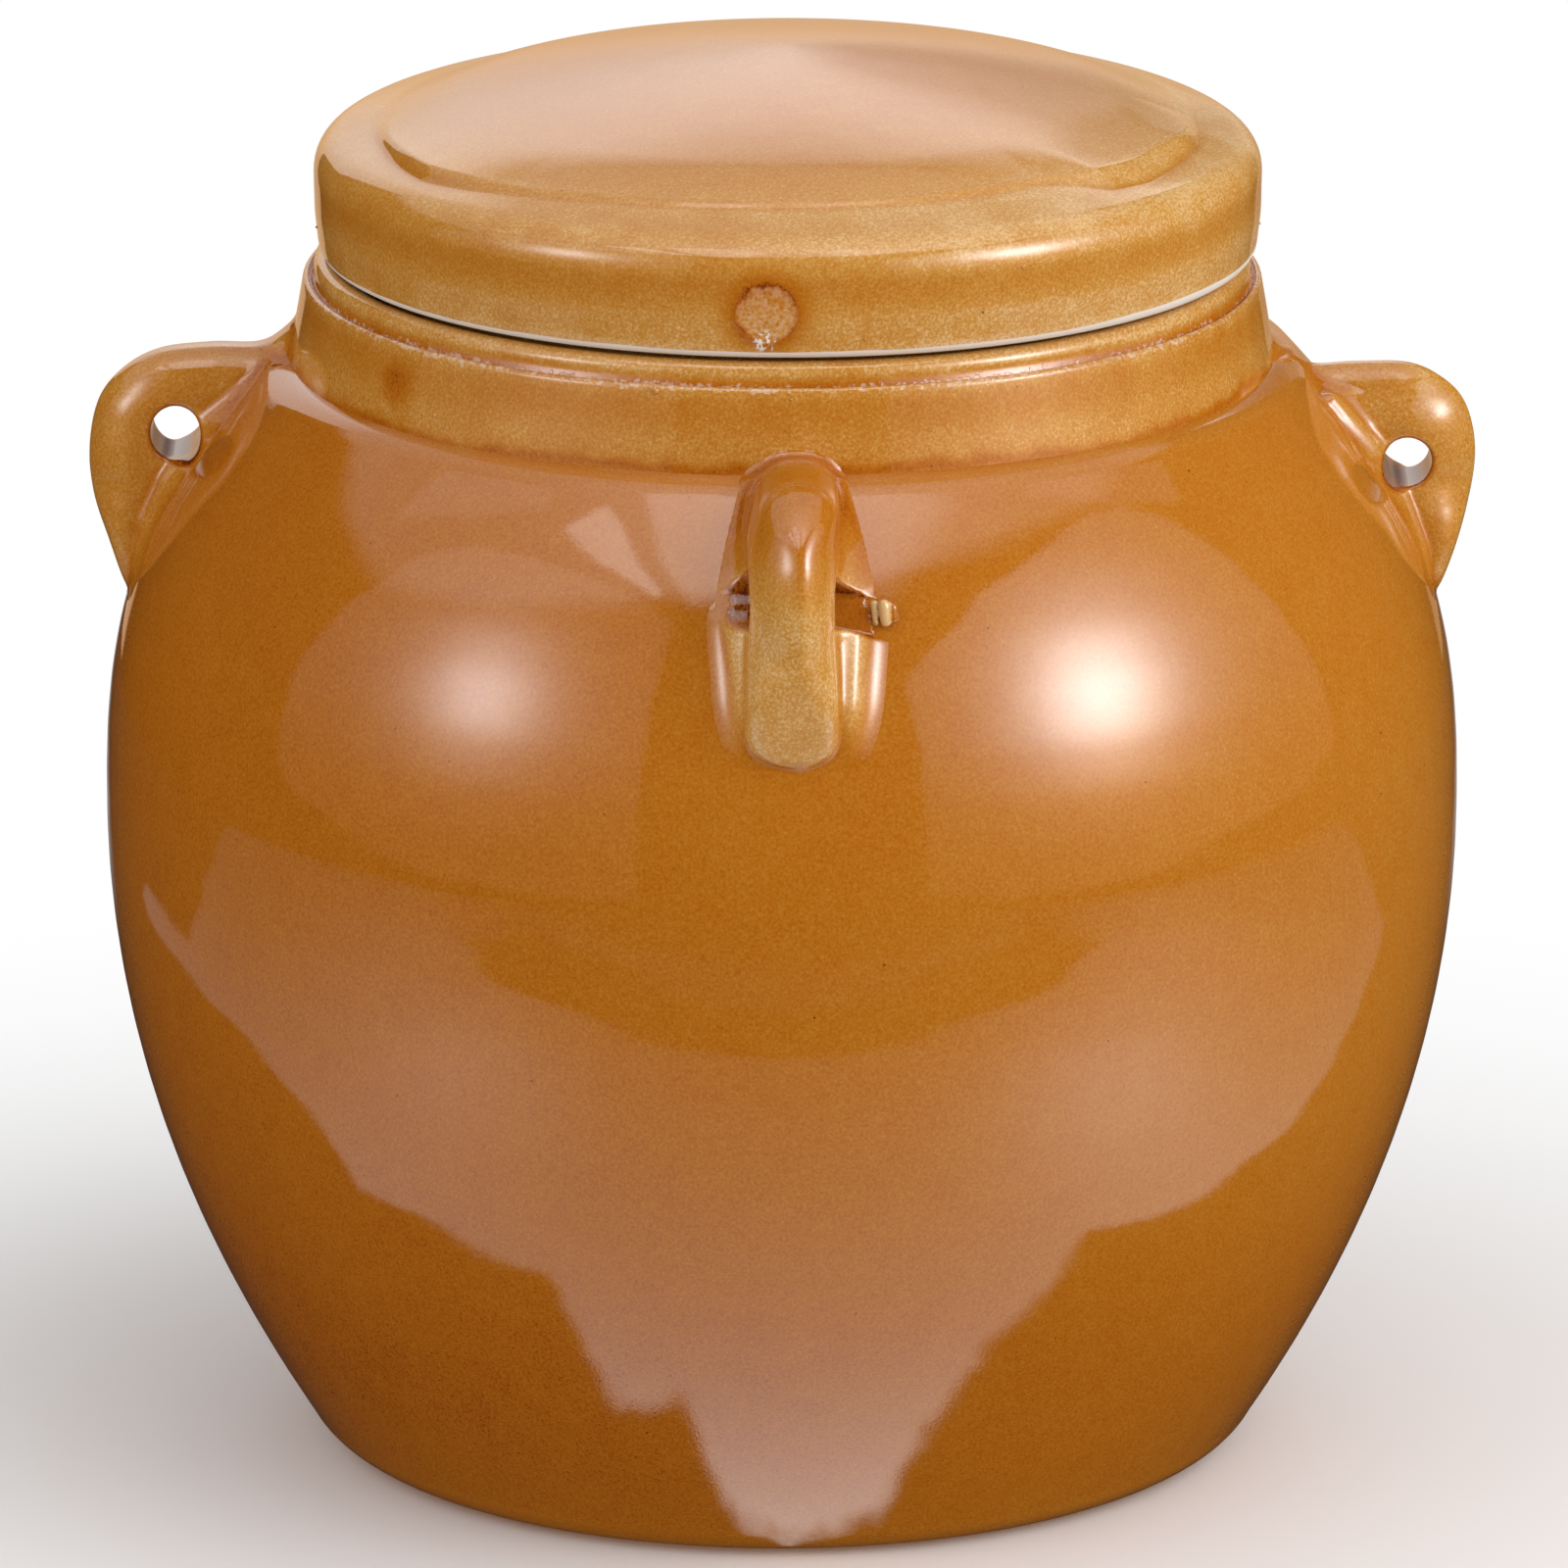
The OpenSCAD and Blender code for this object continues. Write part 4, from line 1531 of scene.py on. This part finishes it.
@dataclass
class Studio:
    """The camera, the pale table and the soft light round the jar."""

    camera_far: float = 2080.0
    camera_z: float = 694.5
    camera_pitch: float = 16.01
    camera_lens: float = 334.65
    camera_shift: float = 0.00125
    table_r: float = 590.0
    room: float = 0.02
    shade_line: tuple[tuple[float, float], ...] = (
        (-300, 90), (-286, 190), (-266, 190), (-259, 60), (-240, 9), (-211, -30), (-171, -60), (-138, -69), (-114, -90),
        (-94, -99), (-68, -111), (-49, -98), (-36, -88), (-28, -89), (-22, -95), (-16, -86),
        (-9, -75), (0, -70), (17, -73), (26, -82), (36, -88), (51, -96), (72, -98), (96, -104),
        (126, -74), (156, -46), (175, -22), (200, 2), (241, 45), (300, 110))

    def build(self) -> None:
        """Sets up the camera, the table and the light."""
        self._camera()
        self._table()
        self._light()
        bpy.context.scene.view_settings.view_transform = "Standard"

    def _camera(self) -> None:
        """Adds the long-lens camera that looks down on the jar."""
        data = bpy.data.cameras.new("camera")
        data.sensor_width = 36.0
        data.lens = self.camera_lens
        data.shift_x = self.camera_shift
        data.clip_end = 20.0
        camera = bpy.data.objects.new("camera", data)
        camera.location = (0.0, -self.camera_far * MM, self.camera_z * MM)
        camera.rotation_euler = (math.radians(90.0 - self.camera_pitch), 0.0, 0.0)
        bpy.context.collection.objects.link(camera)
        bpy.context.scene.camera = camera

    def _table(self) -> None:
        """Adds the round white table that the jar stands on."""
        mesh = bpy.data.meshes.new("table_top")
        turns = np.linspace(0.0, math.tau, 97)[:-1]
        rim = [(self.table_r * MM * math.cos(t), self.table_r * MM * math.sin(t), -0.05 * MM)
               for t in turns]
        mesh.from_pydata(rim, [], [tuple(range(len(rim)))])
        material = bpy.data.materials.new("table_white")
        material.use_nodes = True
        self._table_nodes(Graph(material.node_tree))
        mesh.materials.append(material)
        add_piece("table_top", mesh)

    @staticmethod
    def _pool_of_light(graph: Graph, x: Number, y: Number, centre: tuple[float, float],
                       spread: tuple[float, float], strength: float) -> Number:
        """A soft oval of light on the table.

        Args:
            graph: the table material's tree.
            x: the place's x in metres.
            y: the place's y in metres.
            centre: the oval's middle in metres.
            spread: its spread along and across its long axis, which points away
                from the jar, in metres.
            strength: its brightness.

        Returns:
            The brightness at the place.
        """
        length = math.hypot(*centre)
        way = (centre[0] / length, centre[1] / length)
        far = x * way[0] + y * way[1] - length
        side = x * way[1] - y * way[0]
        return graph.math("EXPONENT", ((far / spread[0]) ** 2 + (side / spread[1]) ** 2)
                          * -0.5) * strength

    def _table_nodes(self, graph: Graph) -> None:
        """Wires the table: white to the camera, lit in front to the glaze.

        Args:
            graph: the table material's tree.
        """
        where = graph.node("ShaderNodeTexCoord").outputs["Object"]
        x, y, _ = graph.split(where)
        side = abs(x)
        stops = [((at + 300.0) / 600.0, ((edge + 150.0) / 400.0,) * 3)
                 for at, edge in self.shade_line]
        drawn = graph.node("ShaderNodeValToRGB", {"stops": stops}, {0: (x + 0.3) / 0.6})
        shade_edge = graph.number(drawn.outputs[0]) * 0.400 - 0.150
        shade_edge = shade_edge + (graph.noise(where, 5.0, 3.0) - 0.5) * 0.006
        lit = (y - shade_edge).fall(-0.003, 0.003)
        band = y.fall(-0.290, -0.284) * (y + 0.17 * side).rise(-0.372, -0.350)
        lit = lit * (1.0 - band * side.fall(0.30, 0.38)) * y.rise(-0.50, -0.42)
        far = graph.math("SQRT", x * x + y * y)
        glow = (0.12 + 0.36 * (0.213 / far.most(0.06)) ** 2.2) * (1.0 - y.fall(-0.37, -0.28) * 0.6)
        for centre, spread, strength in (
                ((-0.170, -0.165), (0.055, 0.050), 0.75), ((-0.270, -0.190), (0.13, 0.10), 0.50),
                ((0.165, -0.150), (0.055, 0.050), 1.45), ((0.290, -0.190), (0.12, 0.09), 0.85)):
            glow = glow + self._pool_of_light(graph, x, y, centre, spread, strength)
        ray = graph.node("ShaderNodeLightPath").outputs
        paint = graph.node("ShaderNodeEmission", None, {
            "Strength": self.room + lit * glow + y.rise(0.22, 0.34) * side.fall(0.15, 0.19) * 0.30})
        bounce = graph.node("ShaderNodeEmission", None, {
            "Strength": 0.10 + 0.44 * (y * -1.0).rise(-0.16, 0.16)})
        seen = graph.node("ShaderNodeBsdfDiffuse", None, {"Color": (0.9, 0.9, 0.9, 1.0)})
        white = graph.node("ShaderNodeEmission", None, {"Strength": 1.0})
        view = graph.node("ShaderNodeMixShader", None, {
            0: far.rise(0.10, 0.30), 1: seen.outputs[0], 2: white.outputs[0]})
        reflected = graph.node("ShaderNodeMixShader", None, {
            0: ray["Is Glossy Ray"], 1: bounce.outputs[0], 2: paint.outputs[0]})
        top = graph.node("ShaderNodeMixShader", None, {
            0: ray["Is Camera Ray"], 1: reflected.outputs[0], 2: view.outputs[0]})
        out = graph.tree.nodes["Material Output"]
        graph.tree.links.new(top.outputs[0], out.inputs["Surface"])

    @staticmethod
    def _glow(graph: Graph, sky: bpy.types.NodeSocket, glow: Glow) -> Number:
        """How bright a glow is in each direction."""
        near = (graph.dot(sky, aim(glow.turn, glow.lift)) + 1.0) * 0.5
        return near.most(0.0) ** (2.0 / math.radians(glow.spread) ** 2) * glow.strength

    def _panel(self, graph: Graph, sky: bpy.types.NodeSocket, panel: Panel) -> Number:
        """How bright a panel is in each direction.

        Args:
            graph: the world's tree.
            sky: the direction.
            panel: the panel.

        Returns:
            Its brightness.
        """
        corners = [aim(*corner) for corner in panel.corners]
        middle = sum(corners)
        inside = None
        for one, two in zip(corners, corners[1:] + corners[:1]):
            plane = np.cross(one, two)
            plane = plane / np.linalg.norm(plane) * math.copysign(1.0, float(plane @ middle))
            depth = graph.dot(sky, plane)
            inside = depth if inside is None else inside.least(depth)
        edge = math.radians(panel.edge)
        light = panel.base + 0.0 * inside
        for glow in panel.glows:
            light = light + self._glow(graph, sky, glow)
        return inside.rise(-edge, edge) * light

    def _room_light(self, graph: Graph, sky: bpy.types.NodeSocket) -> Number:
        """What the glaze mirrors: panels, a white wall behind and a ceiling.

        Args:
            graph: the world's tree.
            sky: the direction.

        Returns:
            The brightness in each direction.
        """
        x, y, z = graph.split(sky)
        ragged = (graph.noise(sky, 22.0, 3.0) - 0.5) * 0.07
        low = (x * -1.0).most(0.0) * z.fall(0.0, 0.25) * 1.5
        wall = (y - abs(x + 0.13) * 1.95 - low + ragged).rise(-0.02, 0.02) * z.fall(0.52, 0.74)
        climb = 0.76 + 0.40 * z.rise(-0.20, 0.12) + 0.20 * z.rise(0.10, 0.40)
        dim = 0.45 * x.rise(-0.02, 0.22) + 0.35 * x.rise(0.0, 0.06) * z.rise(0.05, 0.20)
        dim = 1.0 - dim * z.fall(0.36, 0.50)
        dim = dim * (1.0 - 0.9 * x.rise(0.125, 0.145) * z.rise(0.22, 0.28) * z.fall(0.44, 0.52))
        wall = wall * (climb * dim + self._glow(graph, sky, Glow(180, 29.5, 8.0, 1.0)))
        ceiling = (z - 0.28 * (y * -1.0).most(0.0) - 0.14 * x + ragged * 0.3).rise(0.600, 0.665)
        ceiling = ceiling * (0.86 + self._glow(graph, sky, Glow(0, 72, 20.0, 1.9)))
        light = wall.most(ceiling) + self.room
        for panel in PANELS:
            light = light + self._panel(graph, sky, panel)
        return light

    def _light(self) -> None:
        """Adds the world: soft light, the mirrored room, and white behind it all."""
        world = bpy.data.worlds.new("studio")
        world.use_nodes = True
        graph = Graph(world.node_tree)
        sky = graph.node("ShaderNodeTexCoord").outputs["Generated"]
        soft = (0.40 + self._glow(graph, sky, Glow(65, 24, 27.0, 2.5))
                + self._glow(graph, sky, Glow(-60, 22, 27.0, 1.05))
                + self._glow(graph, sky, Glow(180, 12, 27.0, 0.9)))
        ray = graph.node("ShaderNodeLightPath").outputs
        white = (1.0, 1.0, 1.0, 1.0)
        _, _, z = graph.split(sky)
        warm = graph.mix(z.rise(-0.10, 0.36), WARM_WALL, white[:3])
        parts = [graph.node("ShaderNodeBackground", None, {"Color": colour, "Strength": strength})
                 for colour, strength in ((white, soft), (warm, self._room_light(graph, sky)),
                                          (white, 1.0))]
        reflected = graph.node("ShaderNodeMixShader", None, {
            0: ray["Is Glossy Ray"], 1: parts[0].outputs[0], 2: parts[1].outputs[0]})
        both = graph.node("ShaderNodeMixShader", None, {
            0: ray["Is Camera Ray"], 1: reflected.outputs[0], 2: parts[2].outputs[0]})
        out = graph.tree.nodes["World Output"]
        graph.tree.links.new(both.outputs[0], out.inputs["Surface"])
        bpy.context.scene.world = world


class Grit:
    """Pimples in the glaze: one Geometry Nodes tree that sets beads on points."""

    def __init__(self) -> None:
        """Builds the tree."""
        self.tree = bpy.data.node_groups.new("grit", "GeometryNodeTree")
        self.inputs: dict[str, str] = {}
        for name, kind in (("Places", "NodeSocketGeometry"), ("Roundness", "NodeSocketInt"),
                           ("Glaze", "NodeSocketMaterial")):
            socket = self.tree.interface.new_socket(name, in_out="INPUT", socket_type=kind)
            self.inputs[name] = socket.identifier
        self.tree.interface.new_socket("Grit", in_out="OUTPUT", socket_type="NodeSocketGeometry")
        graph = Graph(self.tree)
        given = graph.node("NodeGroupInput").outputs
        bead = graph.node("GeometryNodeMeshIcoSphere", None,
                          {"Radius": 1.0, "Subdivisions": given["Roundness"]})
        smooth = graph.node("GeometryNodeSetShadeSmooth", None, {"Geometry": bead.outputs[0]})
        size = graph.node("GeometryNodeInputNamedAttribute", {"data_type": "FLOAT"},
                          {"Name": "size"})
        points = graph.node("GeometryNodeMeshToPoints", None, {"Mesh": given["Places"]})
        beads = graph.node("GeometryNodeInstanceOnPoints", None, {
            "Points": points.outputs[0], "Instance": smooth.outputs[0], "Scale": size.outputs[0]})
        solid = graph.node("GeometryNodeRealizeInstances", None, {0: beads.outputs[0]})
        glazed = graph.node("GeometryNodeSetMaterial", None,
                            {"Geometry": solid.outputs[0], "Material": given["Glaze"]})
        graph.node("NodeGroupOutput", None, {0: glazed.outputs[0]})

    def scatter(self, name: str, spots: Sequence[tuple[float, float, float, float]],
                glaze: bpy.types.Material, body: Body, slot: Slot) -> None:
        """Sets pimples on a face.

        Args:
            name: the piece's name.
            spots: the middle and the radius of each pimple, in millimetres.
            glaze: the piece's material.
            body: the loose piece that it moves with.
            slot: passed on to settle, which does not use it; the record's slot that its glaze comes from.
        """
        rows = np.array(spots)
        mesh = bpy.data.meshes.new(name)
        mesh.from_pydata((rows[:, :3] * MM).tolist(), [], [])
        store(mesh, "size", rows[:, 3] * MM)
        piece = add_piece(name, mesh)
        modifier = piece.modifiers.new("grit", "NODES")
        modifier.node_group = self.tree
        modifier[self.inputs["Roundness"]] = 3
        modifier[self.inputs["Glaze"]] = glaze
        own_mesh(piece)
        settle(piece, body, slot)


def scatter_grit(sizes: JarSizes, collar: Collar, kiln: Kiln) -> None:
    """Adds the pimples that the photograph shows, and a few more all round.

    Args:
        sizes: the jar's sizes.
        collar: the collar, which says where its face is.
        kiln: the glazes.
    """
    chance = np.random.default_rng(7)
    grit = Grit()
    lid = [(34.3, -60.6, 191.9, 0.50), (39.4, -57.2, 193.1, 0.40), (-0.4, 0.0, 209.3, 0.62)]
    for turn, z, size in zip(chance.uniform(0, math.tau, 30), chance.uniform(183, 192, 30),
                             chance.uniform(0.10, 0.26, 30)):
        radius = sizes.swell_r - 0.18 - size * 0.4
        lid.append((radius * math.cos(turn) + Lid.nudge, radius * math.sin(turn), z, size))
    ring = [(-18.1, -67.8, 175.4, 0.62), (-18.3, -68.2, 175.9, 0.40)]
    for turn, z, size in zip(chance.uniform(0, math.tau, 40), chance.uniform(167, 175, 40),
                             chance.uniform(0.08, 0.22, 40)):
        radius = float(collar.face_r(np.array(z))) - size * 0.5
        ring.append((radius * math.cos(turn), radius * math.sin(turn), z, size))
    grit.scatter("lid_grit", lid, kiln.lid, Body.LID, Slot.HONEY)
    grit.scatter("collar_grit", ring, kiln.collar, Body.JAR, Slot.HONEY)


def main() -> None:
    """Builds and dresses every piece, then sets up the studio."""
    logging.basicConfig(level=logging.INFO, format="%(message)s")
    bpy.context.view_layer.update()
    sizes = JarSizes.from_frame()
    wheel = Wheel()
    kiln = Kiln(sizes)
    collar = Collar(sizes)
    JarBody(sizes).build(wheel, kiln)
    collar.build(wheel, kiln)
    for ear in make_ears(sizes, collar):
        ear.build(kiln)
    Lid(sizes).build(wheel, kiln)
    scatter_grit(sizes, collar, kiln)
    Studio().build()


if __name__ == "__main__":
    main()
